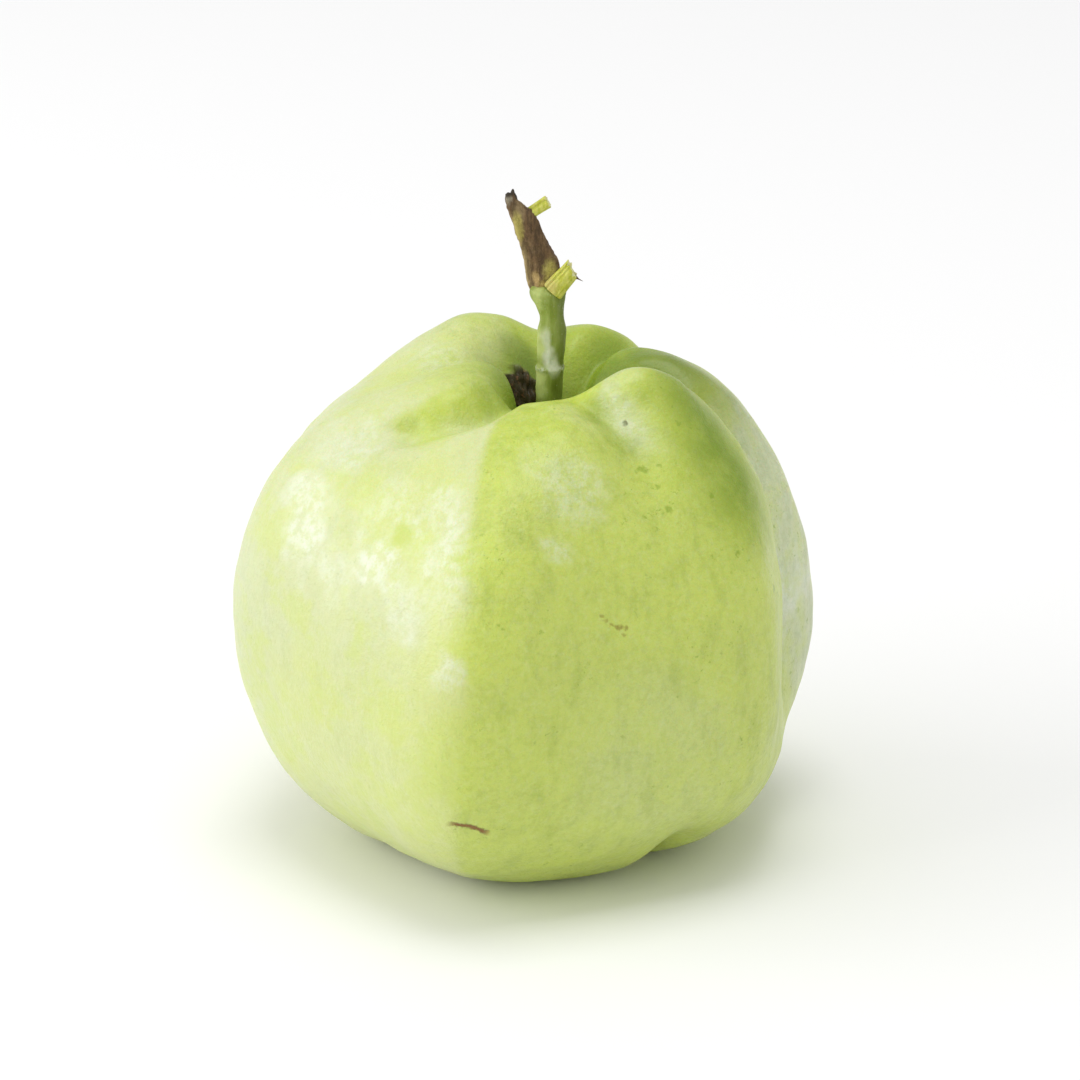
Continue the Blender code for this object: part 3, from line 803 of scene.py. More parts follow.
def make_fruit(material):
    """The fruit's fine skin: its surface, moved along its normals by unevenness and marks."""
    polar = ring_angles(SKIN_RINGS)
    azimuth = np.arange(SKIN_SEGMENTS) * 360.0 / SKIN_SEGMENTS
    azimuths, polars = np.meshgrid(azimuth, polar[1:-1])
    smooth = fruit_surface(azimuths, polars)
    normals = grid_normals(smooth)
    outward = np.sum(normals * (smooth - np.array((AXIS_X, AXIS_Y, WIDEST_HEIGHT))), axis=-1)
    if np.median(outward) < 0.0:
        normals = -normals
    crust_gap = np.linalg.norm(smooth - skin_place(CRUST_AZIMUTH, CRUST_POLAR), axis=-1)
    crust_gap = crust_gap + unevenness(smooth, CRUST_EDGE)
    cork = until(crust_gap, *CRUST_RIM)
    relief = unevenness(smooth, SKIN_SWELLS) + unevenness(smooth, SKIN_RIPPLES)
    relief = relief * after(smooth[..., 2], *UNEVEN_ABOVE)
    dimple = np.linalg.norm(smooth - skin_place(DIMPLE_AZIMUTH, DIMPLE_POLAR), axis=-1)
    relief = relief - DIMPLE_DEPTH * bell(dimple, DIMPLE_RADIUS)
    relief = relief + cork * (CRUST_HEIGHT + unevenness(smooth, CRUST_CRUMBS))
    rings = smooth + normals * relief[..., None]
    rings[..., 2] = np.maximum(rings[..., 2], 0.0)
    ends = (skin_place(0.0, polar[0]), skin_place(0.0, polar[-1]))
    shades = {"cork": cork, **skin_shades(azimuths, polars)}
    values = {key: with_ends(grid, *SHADE_ENDS.get(key, ())) for key, grid in shades.items()}
    return mesh_piece("fruit_skin", rings, ends, material, ("fruit",), values)


# ---- The stalk, the twig and the stubs -------------------------------------------------------

# Cross-sections: the middle's x, y and z, the half width and the half depth. The ends run a little
# way into the neighbouring piece, because the stalk, the twig and the stubs are grown together.
CAVITY_FLOOR = WIDEST_HEIGHT + CROWN_RISE - CAVITY_DEPTH
STALK_TOP = 92.2
STALK_SECTIONS = (
    (4.6, 1.0, CAVITY_FLOOR - 0.2, 2.55, 2.5), (4.55, 1.0, CAVITY_FLOOR + 2.0, 2.2, 2.2),
    (4.4, 1.0, 66.0, 2.15, 2.15), (4.4, 1.0, 75.0, 2.1, 2.1), (4.6, 1.0, 80.4, 2.15, 2.1),
    (4.9, 1.0, 85.5, 2.2, 2.1), (4.85, 1.0, 88.1, 1.9, 2.0), (4.6, 1.0, 89.6, 2.2, 2.2),
    (4.25, 1.0, 91.1, 2.75, 2.45), (4.1, 1.1, STALK_TOP, 2.8, 2.3),
    (3.95, 1.4, STALK_TOP + 0.6, 2.3, 1.6),
)
TWIG_SECTIONS = (
    (3.9, 1.9, STALK_TOP - 0.9, 2.1, 1.6), (3.8, 2.0, STALK_TOP + 0.3, 2.5, 1.6),
    (3.5, 2.1, 94.4, 2.7, 1.45), (3.2, 2.1, 96.6, 2.8, 1.4), (2.3, 2.0, 98.9, 2.42, 1.45),
    (1.3, 1.8, 101.4, 2.2, 1.45), (0.45, 1.6, 103.9, 2.05, 1.35), (-0.2, 1.5, 105.3, 1.85, 1.25),
    (-1.0, 1.35, 106.3, 1.3, 1.1), (-1.5, 1.2, 107.2, 1.0, 0.95), (-1.65, 1.15, 108.0, 0.85, 0.85),
)

# The stalk's four blunt edges, which twist by some degrees a millimetre, the scar ring around it
# with the faint groove above, and the side away from the light, painted darker as painted shade.
STALK_RINGS = 260
STALK_SIDES = 96
STALK_EDGES = 4
STALK_EDGE_HEIGHT = 0.07
STALK_TWIST = 3.0
STALK_GRAIN = Waves(0.05, 41, 24, 0.8, 2.4, 0.2)
STALK_LUMPS = Waves(0.06, 42, 20, 1.6, 5.0)
RING_HEIGHT = 79.2
RING_WIDTH = 0.45
RING_SWELL = 0.16
RING_GROOVE_ABOVE = 1.2
RING_GROOVE_WIDTH = 0.9
RING_GROOVE = 0.5
SHADED_SIDE = (335.0, 42.0)
SHADED_SIDE_STRENGTH = 0.80

# Lengthwise ridges (positive) and grooves of the twig's bark: the angle and width in degrees,
# how far it drifts per millimetre of height, and its height. The first ridge is worn to tan.
Strand = namedtuple("Strand", "angle width drift height")
STRANDS = (
    Strand(212, 13, 1.6, 0.26),
    Strand(238, 12, 2.2, -0.20),
    Strand(262, 16, -1.2, 0.12),
    Strand(296, 10, -1.0, -0.12),
    Strand(330, 14, 0.8, 0.16),
    Strand(20, 12, 0.0, -0.18),
    Strand(70, 18, 1.0, 0.20),
    Strand(120, 12, -1.5, -0.22),
    Strand(160, 14, 0.6, 0.15),
)
TWIG_RINGS = 230
TWIG_SIDES = 112
TWIG_MIDDLE = 99.0
TWIG_GRAIN = Waves(0.07, 51, 36, 0.5, 1.4, 0.16)
TWIG_FLAKES = Waves(0.05, 52, 36, 0.7, 2.2)
TAN_RIDGE_WIDTH = 15.0
TAN_EDGE = (186.0, 12.0)
TAN_END = (106.0, 3.0)

# The twig's break: where it starts, its peak, the slope down from the peak, its fine teeth, and
# where the dark cut starts.
BREAK_START = (106.6, 1.4)
BREAK_PEAK_X = -1.9
BREAK_PEAK = 0.5
BREAK_PEAK_WIDTH = 0.5
BREAK_SLOPE_X = -1.7
BREAK_SLOPE = 0.85
BREAK_TEETH = 0.12
BREAK_TEETH_RATE = 0.11
CUT_START = (107.3, 0.7)

# The rings inside the break, each with its share of the rim's size and its depth below the rim.
TWIG_HOLLOW = ((0.62, 0.12), (0.30, 0.45))
TWIG_HOLLOW_DEPTH = 0.55

# The two broken stubs: a start, an end, the half width and half depth at each of them, a random
# seed, the angle of the crease along it, and its end's slant and raggedness.
Stub = namedtuple("Stub", "start end half_width half_depth seed crease slant ragged")
LOWER_STUB = Stub((5.0, -0.2, 92.3), (8.05, -0.7, 96.1), (1.75, 1.5), (1.1, 0.85), 61, 48, 0.45, 1.0)
UPPER_STUB = Stub((0.9, 1.6, 104.5), (4.2, 1.5, 106.7), (0.85, 1.05), (0.8, 0.95), 62, 60, 0.10, 0.35)
STUB_SIDES = 72
STUB_BOXINESS = 0.8
STUB_BODY = np.linspace(0.0, 1.0, 70)
STUB_FACE = (1.01, 1.0, 0.985, 0.975)
STUB_FACE_SCALES = (0.93, 0.72, 0.42, 0.15)
STUB_FACE_CALM = 0.3
STUB_SQUASH = 0.85
STUB_GRAIN = Waves(0.05, 0, 30, 0.4, 1.3)

# Around a stub: the angle past its crease, the width and the height of each of two creases, the
# height, number and phase of its fine ribs, and the height, number and phase, times the stub's
# seed, of the teeth of its torn end, which grow from a share of its length.
CREASES = ((0.0, 13.0, -0.30), (190.0, 15.0, -0.22))
FINE_RIBS = ((0.05, 13, 0.0), (0.03, 22, 40.0))
TORN_TEETH = ((0.16, 5, 1), (0.11, 11, 2))
TORN_START = (0.45, 0.55)
TORN_FULL_SCALE = 1.2

# The loose fibre at the lower stub's end: points of its middle line, and its radius at each.
FIBRE_POINTS = ((7.7, -0.7, 95.4), (8.5, -0.8, 94.9), (9.1, -0.9, 94.6), (9.8, -0.9, 94.2))
FIBRE_RADII = (0.45, 0.38, 0.10, 0.035)
FIBRE_RINGS = 24
FIBRE_SIDES = 14


def section_middles(sections, count):
    """Cross-sections at even heights, each value on a cubic through its neighbours' slopes."""
    given = np.array(sections)
    heights = given[:, 2]
    slopes = np.gradient(given, heights, axis=0)
    wanted = np.linspace(heights[0], heights[-1], count)
    lower = np.clip(np.searchsorted(heights, wanted, side="right") - 1, 0, len(given) - 2)
    step = (heights[lower + 1] - heights[lower])[:, None]
    share = (wanted[:, None] - heights[lower][:, None]) / step
    rise = share * share * (3.0 - 2.0 * share)
    leave = share * (1.0 - share) ** 2 * step
    arrive = share * share * (share - 1.0) * step
    level = given[lower] * (1.0 - rise) + given[lower + 1] * rise
    return level + slopes[lower] * leave + slopes[lower + 1] * arrive


def stem_rings(sections, count, sides):
    """Level ovals at even heights, with the angle around them and the height of each point."""
    rows = section_middles(sections, count)
    turn = full_turn(sides)
    x = rows[:, 0:1] + AXIS_X + rows[:, 3:4] * np.cos(turn)
    y = rows[:, 1:2] + AXIS_Y + rows[:, 4:5] * np.sin(turn)
    z = np.broadcast_to(rows[:, 2:3], x.shape)
    angles = np.broadcast_to(np.degrees(turn), x.shape)
    return np.stack([x, y, z], -1), angles, z


def push_out(rings, distance):
    """Move each point along its ring's own outward normal by a distance."""
    normals = grid_normals(rings)
    outward = np.sum(normals * (rings - rings.mean(axis=1, keepdims=True)), axis=-1)
    normals = np.where(outward[..., None] < 0.0, -normals, normals)
    return rings + normals * distance[..., None]


def teeth(angles, height, count, phase):
    """Even teeth around a ring: a sine with a number of waves around it."""
    return height * np.sin(np.radians(angles * count + phase))


def make_stalk(material):
    """The stalk: blunt four-edged ovals, a scar ring, and low lengthwise unevenness."""
    rings, angles, z = stem_rings(STALK_SECTIONS, STALK_RINGS, STALK_SIDES)
    twist = STALK_TWIST * (z - STALK_TOP)
    relief = STALK_EDGE_HEIGHT * np.cos(np.radians(STALK_EDGES * angles + twist))
    above = z - RING_HEIGHT
    ring = bell(above, RING_WIDTH)
    groove = RING_GROOVE * bell(above - RING_GROOVE_ABOVE, RING_GROOVE_WIDTH)
    relief = relief + RING_SWELL * (ring - groove)
    relief = relief + unevenness(rings, STALK_GRAIN) + unevenness(rings, STALK_LUMPS)
    rings = push_out(rings, relief)
    # The side away from the light, painted darker: painted shade.
    shade_share = beside(angles, *SHADED_SIDE)
    values = {"shaded_side": with_ends(shade_share), "scar_ring": with_ends(ring)}
    ends = end_points(rings, (0.0, 0.0, 0.1))
    return mesh_piece("stalk", rings, ends, material, ("peduncle",), values)


def make_twig(material):
    """The torn bit of twig: flat ovals with drifting bark ridges and a slanting ragged break."""
    rings, angles, z = stem_rings(TWIG_SECTIONS, TWIG_RINGS, TWIG_SIDES)
    ways = [strand.angle + strand.drift * (z - TWIG_MIDDLE) for strand in STRANDS]
    height = np.zeros_like(z)
    for strand, way in zip(STRANDS, ways):
        height = height + strand.height * beside(angles, way, strand.width)
    height = height + unevenness(rings, TWIG_GRAIN) + unevenness(rings, TWIG_FLAKES)
    tan = beside(angles, ways[0], TAN_RIDGE_WIDTH) + beside(angles, *TAN_EDGE)
    tan = tan * until(z, *TAN_END)
    rings = push_out(rings, height)
    x = rings[..., 0]
    ragged = BREAK_PEAK * bell(x - BREAK_PEAK_X, BREAK_PEAK_WIDTH)
    ragged = ragged - BREAK_SLOPE * np.maximum(x - BREAK_SLOPE_X, 0.0)
    ragged = ragged + BREAK_TEETH * np.sin(angles * BREAK_TEETH_RATE)
    rings[..., 2] = rings[..., 2] + after(z, *BREAK_START) * ragged
    rim = rings[-1]
    middle = rim.mean(axis=0)
    hollow = [middle + (rim - middle) * size - (0.0, 0.0, depth) for size, depth in TWIG_HOLLOW]
    rings = np.concatenate([rings, hollow])
    ends = (rings[0].mean(axis=0), middle - (0.0, 0.0, TWIG_HOLLOW_DEPTH))
    inside = np.ones((len(TWIG_HOLLOW), TWIG_SIDES))
    cut = np.concatenate([after(z, *CUT_START), inside])
    values = {"cut": with_ends(cut, 0.0, 1.0), "tan": with_ends(np.concatenate([tan, 0.0 * inside]))}
    return mesh_piece("twig", rings, ends, material, ("woody_spur",), values)


def stub_frame(stub):
    """A stub's start, its run, and the directions of its width and its depth."""
    offset = np.array((AXIS_X, AXIS_Y, 0.0))
    start = np.array(stub.start) + offset
    run = np.array(stub.end) + offset - start
    along = run / np.linalg.norm(run)
    depth_way = np.cross(along, np.array((0.0, 0.0, 1.0)))
    depth_way = depth_way / np.linalg.norm(depth_way)
    return start, run, np.cross(depth_way, along), depth_way


def stub_rings(stub, along, scale, turn):
    """Rings square to a stub's run: rounded boxes, scaled at each share along it."""
    start, run, width_way, depth_way = stub_frame(stub)
    across = np.sign(np.cos(turn)) * np.abs(np.cos(turn)) ** STUB_BOXINESS
    through = np.sign(np.sin(turn)) * np.abs(np.sin(turn)) ** STUB_BOXINESS
    half_width = np.interp(along, (0.0, 1.0), stub.half_width) * scale
    half_depth = np.interp(along, (0.0, 1.0), stub.half_depth) * scale
    rings = start + along[:, None, None] * run
    rings = rings + (half_width[:, None] * across)[..., None] * width_way
    return rings + (half_depth[:, None] * through)[..., None] * depth_way


def make_stub(name, stub, node, material):
    """A broken stub: a lengthwise crease, a slanting end with torn fibres, and a hollow face."""
    along = np.concatenate([STUB_BODY, STUB_FACE])
    scale = np.concatenate([np.ones_like(STUB_BODY), STUB_FACE_SCALES])
    turn = full_turn(STUB_SIDES)
    rings = stub_rings(stub, along, scale, turn)
    start, run, width_way, _ = stub_frame(stub)
    share = np.broadcast_to(along[:, None], rings.shape[:2])
    angles = np.broadcast_to(np.degrees(turn), rings.shape[:2])
    on_face = np.broadcast_to((np.arange(len(along)) >= len(STUB_BODY))[:, None], rings.shape[:2])
    relief = 0.0
    for past, width, height in CREASES:
        relief = relief + height * beside(angles, stub.crease + past, width)
    for height, count, phase in FINE_RIBS:
        relief = relief + teeth(angles, height, count, phase)
    squashed = rings - np.outer(share.ravel() * STUB_SQUASH, run).reshape(rings.shape)
    relief = relief + unevenness(squashed, STUB_GRAIN._replace(seed=stub.seed))
    rings = push_out(rings, relief * np.where(on_face, STUB_FACE_CALM, 1.0))
    torn = sum(teeth(angles, height, count, phase * stub.seed) for height, count, phase in TORN_TEETH)
    torn = stub.ragged * torn * np.minimum(scale * TORN_FULL_SCALE, 1.0)[:, None]
    reach = (stub.slant * ((rings - start) @ width_way) + torn) * after(share, *TORN_START)
    rings = rings + reach[..., None] * (run / np.linalg.norm(run))
    ends = end_points(rings, -0.05 * run / np.linalg.norm(run))
    values = {"cut": with_ends(on_face, 0.0, 1.0)}
    return mesh_piece(name, rings, ends, material, node, values)


def make_fibre(material):
    """The loose fibre at the lower stub's end: a thin round tube that tapers along a bent line."""
    share = np.linspace(0.0, 1.0, FIBRE_RINGS)
    given = np.linspace(0.0, 1.0, len(FIBRE_POINTS))
    points = np.array(FIBRE_POINTS) + np.array((AXIS_X, AXIS_Y, 0.0))
    path = np.stack([np.interp(share, given, points[:, axis]) for axis in range(3)], -1)
    path[1:-1] = (path[:-2] + 2.0 * path[1:-1] + path[2:]) / 4.0
    radius = np.interp(share, given, FIBRE_RADII)[:, None, None]
    run = np.gradient(path, axis=0)
    run = run / np.linalg.norm(run, axis=1, keepdims=True)
    side = np.cross(run, np.array((0.0, 1.0, 0.0)))
    side = side / np.linalg.norm(side, axis=1, keepdims=True)
    turn = full_turn(FIBRE_SIDES)[None, :, None]
    circle = np.cos(turn) * side[:, None] + np.sin(turn) * np.cross(run, side)[:, None]
    rings = path[:, None] + radius * circle
    return mesh_piece("torn_fibre", rings, (path[0], path[-1]), material, None)


# Marks on the stalk and the twig, taller than wide: a middle, a reach, a colour and its strength.
Mark = namedtuple("Mark", "x y z reach colour strength")
TALL = 0.55
WAX_AND_HIGHLIGHT_GREY = (0.62, 0.66, 0.49)
STALK_LIT = (0.55, 0.63, 0.22)
STALK_STREAK = (0.31, 0.38, 0.09)
STALK_GREEN = (0.24, 0.31, 0.045)
STALK_SHADE = (0.13, 0.17, 0.015)
# The stalk's marks are painted light and shade: paler on the lit side, a highlight streak in the wax
# grey, and darker on the side away from the light.
STALK_LIGHT_AND_SHADE = (
    Mark(2.3, 3.2, 83.6, 2.0, STALK_LIT, 0.75),
    Mark(2.3, 3.2, 76.6, 2.1, STALK_LIT, 0.90),
    Mark(3.4, 2.6, 84.6, 1.3, WAX_AND_HIGHLIGHT_GREY, 0.65),
    Mark(3.9, 2.4, 81.4, 1.5, WAX_AND_HIGHLIGHT_GREY, 0.95),
    Mark(4.9, 2.3, 79.9, 1.4, WAX_AND_HIGHLIGHT_GREY, 0.95),
    Mark(5.4, 2.2, 76.3, 1.7, STALK_SHADE, 0.85),
    Mark(5.6, 2.2, 73.0, 1.8, STALK_SHADE, 0.85),
    Mark(2.2, 3.2, 91.2, 1.7, STALK_LIT, 0.70),
)
STALK_STREAKS = Grain(1.1, 4.0, 0.5, 0.38, 0.62, 0.0, 1.0, (1.0, 1.0, 0.18))
RING_CRUMBS = Grain(1.3, 4.0, 0.7, 0.42, 0.60, 0.0, 0.85)
STALK_DOTS = Grain(1.3, low=0.05, high=0.22, least=0.25, most=0.0)
STALK_SHEEN = Grain(0.6, least=0.50, most=0.66)
STALK_BUMPS = Grain(2.2, 5.0, 0.6, squeeze=(1.0, 1.0, 0.35))
BARK_BROWN = (0.185, 0.110, 0.052)
BARK_DARK = (0.100, 0.062, 0.032)
BARK_WORN = (0.26, 0.175, 0.090)
BARK_TAN = (0.47, 0.35, 0.17)
BARK_GREEN = (0.52, 0.45, 0.12)
BARK_CUT = (0.045, 0.040, 0.030)
BARK_CUT_STRENGTH = 0.9
TWIG_MARKS = (
    Mark(-0.9, 3.9, 105.4, 1.5, (0.30, 0.22, 0.11), 0.85),
    Mark(-1.0, 3.9, 102.2, 1.2, BARK_GREEN, 0.85),
    Mark(-1.3, 3.6, 103.9, 1.1, BARK_GREEN, 0.75),
    Mark(4.3, 3.6, 95.5, 1.8, (0.54, 0.47, 0.13), 0.95),
    Mark(1.6, 3.8, 93.9, 1.2, (0.56, 0.39, 0.16), 0.90),
    Mark(2.9, 3.8, 92.8, 1.0, (0.48, 0.36, 0.10), 0.80),
    Mark(-2.6, 4.0, 107.4, 0.9, (0.38, 0.34, 0.25), 0.90),
)
BARK_FIBRES = Grain(2.4, 5.0, 0.65, 0.36, 0.64, 0.0, 1.0, (1.0, 1.0, 0.14))
TAN_FIBRES = BARK_FIBRES._replace(low=0.30, high=0.60, least=0.60)
DARK_FIBRES = BARK_FIBRES._replace(low=0.50, high=0.36, most=0.35)
BARK_BLOTCHES = Grain(0.7, 4.0, 0.6, 0.48, 0.70, 0.0, 0.55)
BARK_PITS = Grain(3.5)
TORN_YELLOW = (0.46, 0.48, 0.045)
TORN_PALE = (0.62, 0.62, 0.14)
TORN_FACE = (0.66, 0.66, 0.36)
TORN_FACE_STRENGTH = 0.8
TORN_SPECK = (0.22, 0.15, 0.04)
TORN_FIBRES = Grain(1.6, 5.0, 0.6, 0.36, 0.64, 0.0, 1.0, (1.0, 1.0, 0.5))
TORN_SPECKS = Grain(2.6, low=0.64, high=0.72, most=0.30)
TORN_FOOT = Mark(3.9, 2.9, 93.3, 2.4, (0.54, 0.46, 0.15), 0.7)
TORN_FOOT_CORE = 1.0 / 3.0
DRY_DARK = (0.055, 0.030, 0.014)
DRY_BROWN = (0.15, 0.085, 0.040)
DRY_WORN = (0.26, 0.19, 0.10)
DRY_WRINKLES = Grain(1.8, 5.0, 0.65, 0.38, 0.62)
DRY_PATCHES = Grain(0.6, low=0.52, high=0.70, most=0.6)


def add_marks(finish, marks, wander):
    """Lay upright oval marks over a finish."""
    tall = finish.vector("MULTIPLY", wander, (1.0, 1.0, TALL))
    for mark in marks:
        share = finish.near((mark.x, mark.y, mark.z * TALL), mark.reach, SPOT_CORE, tall)
        finish.tint(mark.colour, share, mark.strength)


def stalk_finish():
    """Green stalk: lengthwise streaks, a lit side and a highlight streak as painted light, painted
    shade on the far side, grey waxy dots and a pale scar ring.
    """
    green = Finish("green_stalk_skin")
    green.colour = green.blend(green.grain(STALK_STREAKS), STALK_GREEN, STALK_STREAK)
    green.tint(STALK_SHADE, green.attribute("shaded_side"), SHADED_SIDE_STRENGTH)
    add_marks(green, STALK_LIGHT_AND_SHADE, shift_about(green, per_mm=0.5, distance_mm=1.4))
    green.tint(WAX_AND_HIGHLIGHT_GREY, green.attribute("scar_ring"), green.grain(RING_CRUMBS))
    green.tint(WAX_AND_HIGHLIGHT_GREY, green.dots(STALK_DOTS))
    green.relief(green.noise(STALK_BUMPS), depth_mm=0.20)
    green.set(Roughness=green.grain(STALK_SHEEN), Subsurface_Weight=0.06, Subsurface_Scale=0.001)
    return green.finished(Specular_IOR_Level=0.30, Coat_Weight=0.06, Coat_Roughness=0.3)


def bark_finish():
    """Dry brown bark: lengthwise fibres, tan ridges, green-yellow patches and a dark cut end."""
    bark = Finish("twig_bark")
    bark.colour = bark.blend(bark.grain(BARK_FIBRES), BARK_DARK, BARK_BROWN)
    bark.tint(BARK_WORN, bark.grain(BARK_BLOTCHES))
    bark.tint(BARK_TAN, bark.attribute("tan"), bark.grain(TAN_FIBRES))
    add_marks(bark, TWIG_MARKS, shift_about(bark, per_mm=0.8, distance_mm=1.5))
    bark.tint(BARK_DARK, bark.grain(DARK_FIBRES))
    bark.tint(BARK_CUT, bark.attribute("cut"), BARK_CUT_STRENGTH)
    bark.relief(bark.math("ADD", bark.noise(BARK_FIBRES), bark.noise(BARK_PITS)), depth_mm=0.30)
    return bark.finished(Roughness=0.82, Specular_IOR_Level=0.3)


def torn_finish():
    """Torn yellow-green stem: fibres along the run, brown specks, and a paler broken face."""
    torn = Finish("torn_stem_wood")
    torn.colour = torn.blend(torn.grain(TORN_FIBRES), TORN_YELLOW, TORN_PALE)
    wander = shift_about(torn, per_mm=0.6, distance_mm=1.2)
    foot = torn.near(TORN_FOOT[:3], TORN_FOOT.reach, TORN_FOOT_CORE, wander)
    torn.tint(TORN_FOOT.colour, foot, TORN_FOOT.strength)
    torn.tint(TORN_FACE, torn.attribute("cut"), TORN_FACE_STRENGTH)
    torn.tint(TORN_SPECK, torn.grain(TORN_SPECKS))
    torn.relief(torn.noise(TORN_FIBRES), depth_mm=0.22)
    torn.set(Subsurface_Weight=0.08, Subsurface_Scale=0.001)
    return torn.finished(Roughness=0.62, Specular_IOR_Level=0.3)


def dry_finish():
    """Dry brown papery tissue: dark veins along it, paler worn parts and fine wrinkles."""
    dry = Finish("dry_brown_calyx")
    dry.colour = dry.blend(dry.grain(DRY_WRINKLES), DRY_DARK, DRY_BROWN)
    dry.tint(DRY_WORN, dry.grain(DRY_PATCHES))
    dry.relief(dry.noise(DRY_WRINKLES), depth_mm=0.35)
    return dry.finished(Roughness=0.85, Specular_IOR_Level=0.3)


def make_stem():
    """The stalk, the twig on it, the two broken stubs and the loose dry fibre."""
    torn = torn_finish()
    make_stalk(stalk_finish())
    make_twig(bark_finish())
    make_stub("lower_stub", LOWER_STUB, ("lower_stalk_stub",), torn)
    make_stub("upper_stub", UPPER_STUB, ("upper_stalk_stub",), torn)
    make_fibre(dry_finish())


# ---- The dry calyx ---------------------------------------------------------------------------

# Five sepals of uneven length, cupped and crinkled, that sag under the basin's roof.
SEPAL_COUNT = 5
SEPAL_FIRST_AZIMUTH = 20.0
SEPAL_RINGS = 60
SEPAL_SIDES = 48
SEPAL_ROOT = 3.4
SEPAL_REACH = 7.0
SEPAL_UNEVENNESS = 0.12
SEPAL_HALF_WIDTH = 2.2
SEPAL_TIP_HALF_WIDTH = 0.08
SEPAL_HALF_THICKNESS = 0.22
SEPAL_DROP = 0.55
SEPAL_SAG = 0.6
SEPAL_TIP_CURL = 0.3
SEPAL_CURL_UNEVENNESS = 0.2
SEPAL_CUP = 0.13
SEPAL_CRINKLE = 0.16
SEPAL_SWAY = 0.35
SEPAL_CLEARANCE = 0.25

# The style: a tapering stem with a knob near its tip and three blunt edges, bent as it hangs.
STYLE_RINGS = 60
STYLE_SIDES = 32
STYLE_RADIUS = 0.7
STYLE_LENGTH = 2.8
STYLE_TAPER = 0.75
STYLE_KNOB = 0.35
STYLE_KNOB_AT = 0.93
STYLE_KNOB_WIDTH = 0.08
STYLE_EDGES = 0.10
STYLE_BEND_X = 0.5
STYLE_BEND_Y = 0.35
STYLE_ROOT = 0.3


def basin_height(radius):
    """Height of the basin's roof at a distance from the fruit's centre line."""
    polar = np.linspace(120.0, 180.0, 600)
    x, y, z = fruit_surface(np.zeros_like(polar), polar).T
    return np.interp(radius, np.hypot(x - AXIS_X, y - AXIS_Y)[::-1], z[::-1])


def make_sepal(number, material):
    """A curled sepal: thin ovals, cupped across and crinkled, along a line under the basin."""
    azimuth = np.radians(SEPAL_FIRST_AZIMUTH + 360.0 * number / SEPAL_COUNT)
    outward = np.array((np.sin(azimuth), -np.cos(azimuth), 0.0))
    sideways = np.array((-outward[1], outward[0], 0.0))
    share = np.linspace(0.0, 1.0, SEPAL_RINGS)[:, None]
    turn = full_turn(SEPAL_SIDES)[None, :]
    length = SEPAL_REACH * (1.0 + SEPAL_UNEVENNESS * np.cos(2.4 * number))
    reach = SEPAL_ROOT + length * share
    curl = SEPAL_TIP_CURL + SEPAL_CURL_UNEVENNESS * np.sin(number * 2.1)
    droop = SEPAL_DROP + SEPAL_SAG * np.sin(np.pi * share) + curl * share**4
    half_width = SEPAL_HALF_WIDTH * (1.0 - 0.9 * share**2.2) * (0.75 + 0.25 * fade(share * 4.0))
    across = (half_width + SEPAL_TIP_HALF_WIDTH) * np.cos(turn)
    cup = SEPAL_CUP * across**2 * (1.0 - 0.5 * share)
    crinkle = SEPAL_CRINKLE * np.sin(across * 3.1 + share * 9.0 + number)
    crinkle = crinkle * np.sin(share * 14.0 + 1.7 * number) * fade(share * 3.0)
    thick = SEPAL_HALF_THICKNESS * (1.0 - 0.5 * share) * np.sin(turn)
    height = basin_height(reach) - (droop + crinkle - cup + thick)
    side = across + SEPAL_SWAY * np.sin(share * 5.0 + number * 1.3)
    rings = np.array((AXIS_X, AXIS_Y, 0.0)) + reach[..., None] * outward + side[..., None] * sideways
    rings[..., 2] = np.maximum(height, SEPAL_CLEARANCE)
    name = f"sepal_{number + 1}"
    return mesh_piece(f"curled_{name}", rings, end_points(rings), material, (name,))


def make_style(material):
    """The withered style: a bent tapering round stem with a small knob at its tip."""
    share = np.linspace(0.0, 1.0, STYLE_RINGS)[:, None]
    turn = full_turn(STYLE_SIDES)[None, :]
    knob = STYLE_KNOB * bell(share - STYLE_KNOB_AT, STYLE_KNOB_WIDTH)
    radius = STYLE_RADIUS * (1.15 - STYLE_TAPER * share + knob)
    radius = radius * np.sqrt(np.clip((1.02 - share) / 0.08, 0.0, 1.0))
    radius = radius * (1.0 + STYLE_EDGES * np.cos(3.0 * turn + 4.0 * share))
    x = AXIS_X + STYLE_BEND_X * share**2 + radius * np.cos(turn)
    y = AXIS_Y - STYLE_BEND_Y * share**2 + radius * np.sin(turn)
    z = basin_height(0.0) + STYLE_ROOT - (STYLE_LENGTH + STYLE_ROOT) * share + 0.0 * turn
    rings = np.stack([x, y, z], -1)
    return mesh_piece("withered_style", rings, end_points(rings), material, ("style",))


def make_calyx():
    """Five curled sepals around the style."""
    dry = dry_finish()
    for number in range(SEPAL_COUNT):
        make_sepal(number, dry)
    make_style(dry)


# ---- Light, floor and camera -----------------------------------------------------------------

VIEW_ELEVATION = 20.0
VIEW_DISTANCE = 0.8
VIEW_LENS = 162.8
AIM = np.array((0.00245, 0.00734, 0.04845))
SKY_STRENGTH = 0.69
FLOOR_REACH = 4.0
FLOOR_WHITE = (0.93, 0.93, 0.93)

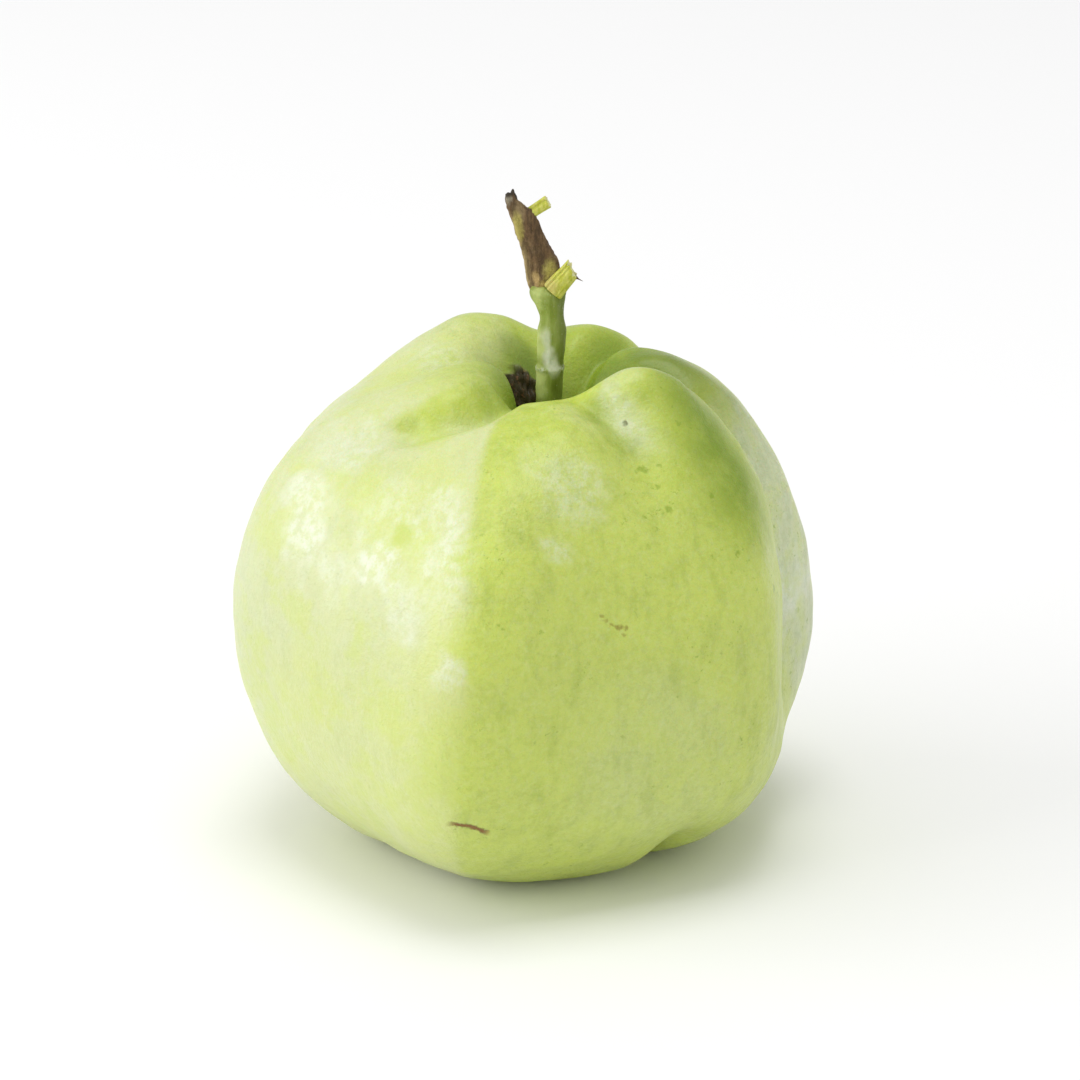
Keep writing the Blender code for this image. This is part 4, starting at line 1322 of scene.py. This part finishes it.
# The lights: where each stands, its width and height, and its power.
Light = namedtuple("Light", "place width height watts")
LIGHTS = {
    "window": Light((-1.1, -0.22, 0.50), 1.2, 0.8, 7.0),
    "overhead": Light((0.05, -0.15, 1.9), 0.9, 0.9, 11.5),
}


def make_camera():
    """A long lens in front of the fruit, looking down on it by the view's elevation."""
    camera = bpy.data.objects.new("camera", bpy.data.cameras.new("camera"))
    slope = np.radians(VIEW_ELEVATION)
    camera.location = AIM + VIEW_DISTANCE * np.array((0.0, -np.cos(slope), np.sin(slope)))
    camera.rotation_euler = (np.pi / 2.0 - slope, 0.0, 0.0)
    camera.data.lens = VIEW_LENS
    camera.data.sensor_width = 36.0
    camera.data.clip_start = 0.01
    camera.data.clip_end = 20.0
    bpy.context.scene.collection.objects.link(camera)
    bpy.context.scene.camera = camera


def make_light(name, given):
    """A soft rectangular light that faces the fruit's middle."""
    lamp = bpy.data.lights.new(name, "AREA")
    lamp.shape = "RECTANGLE"
    lamp.size = given.width
    lamp.size_y = given.height
    lamp.energy = given.watts
    light = bpy.data.objects.new(name, lamp)
    light.location = given.place
    light.rotation_euler = (Vector(AIM) - light.location).to_track_quat("-Z", "Y").to_euler()
    bpy.context.scene.collection.objects.link(light)


def make_studio():
    """A pale floor, a soft sky and two soft lights."""
    world = bpy.data.worlds.new("studio")
    world.use_nodes = True
    sky = world.node_tree.nodes["Background"]
    sky.inputs["Color"].default_value = (1.0, 1.0, 1.0, 1.0)
    sky.inputs["Strength"].default_value = SKY_STRENGTH
    bpy.context.scene.world = world
    mesh = bpy.data.meshes.new("floor")
    corners = [(x * FLOOR_REACH, y * FLOOR_REACH, 0.0) for x, y in ((-1, -1), (1, -1), (1, 1), (-1, 1))]
    mesh.from_pydata(corners, [], [(0, 1, 2, 3)])
    floor = bpy.data.objects.new("floor", mesh)
    bpy.context.scene.collection.objects.link(floor)
    paper = Finish("floor_paper")
    paper.colour = FLOOR_WHITE
    mesh.materials.append(paper.finished(Roughness=0.8))
    for name, given in LIGHTS.items():
        make_light(name, given)


make_camera()
make_studio()
make_fruit(skin_finish())
make_stem()
make_calyx()

bpy.context.scene.view_settings.view_transform = "Standard"
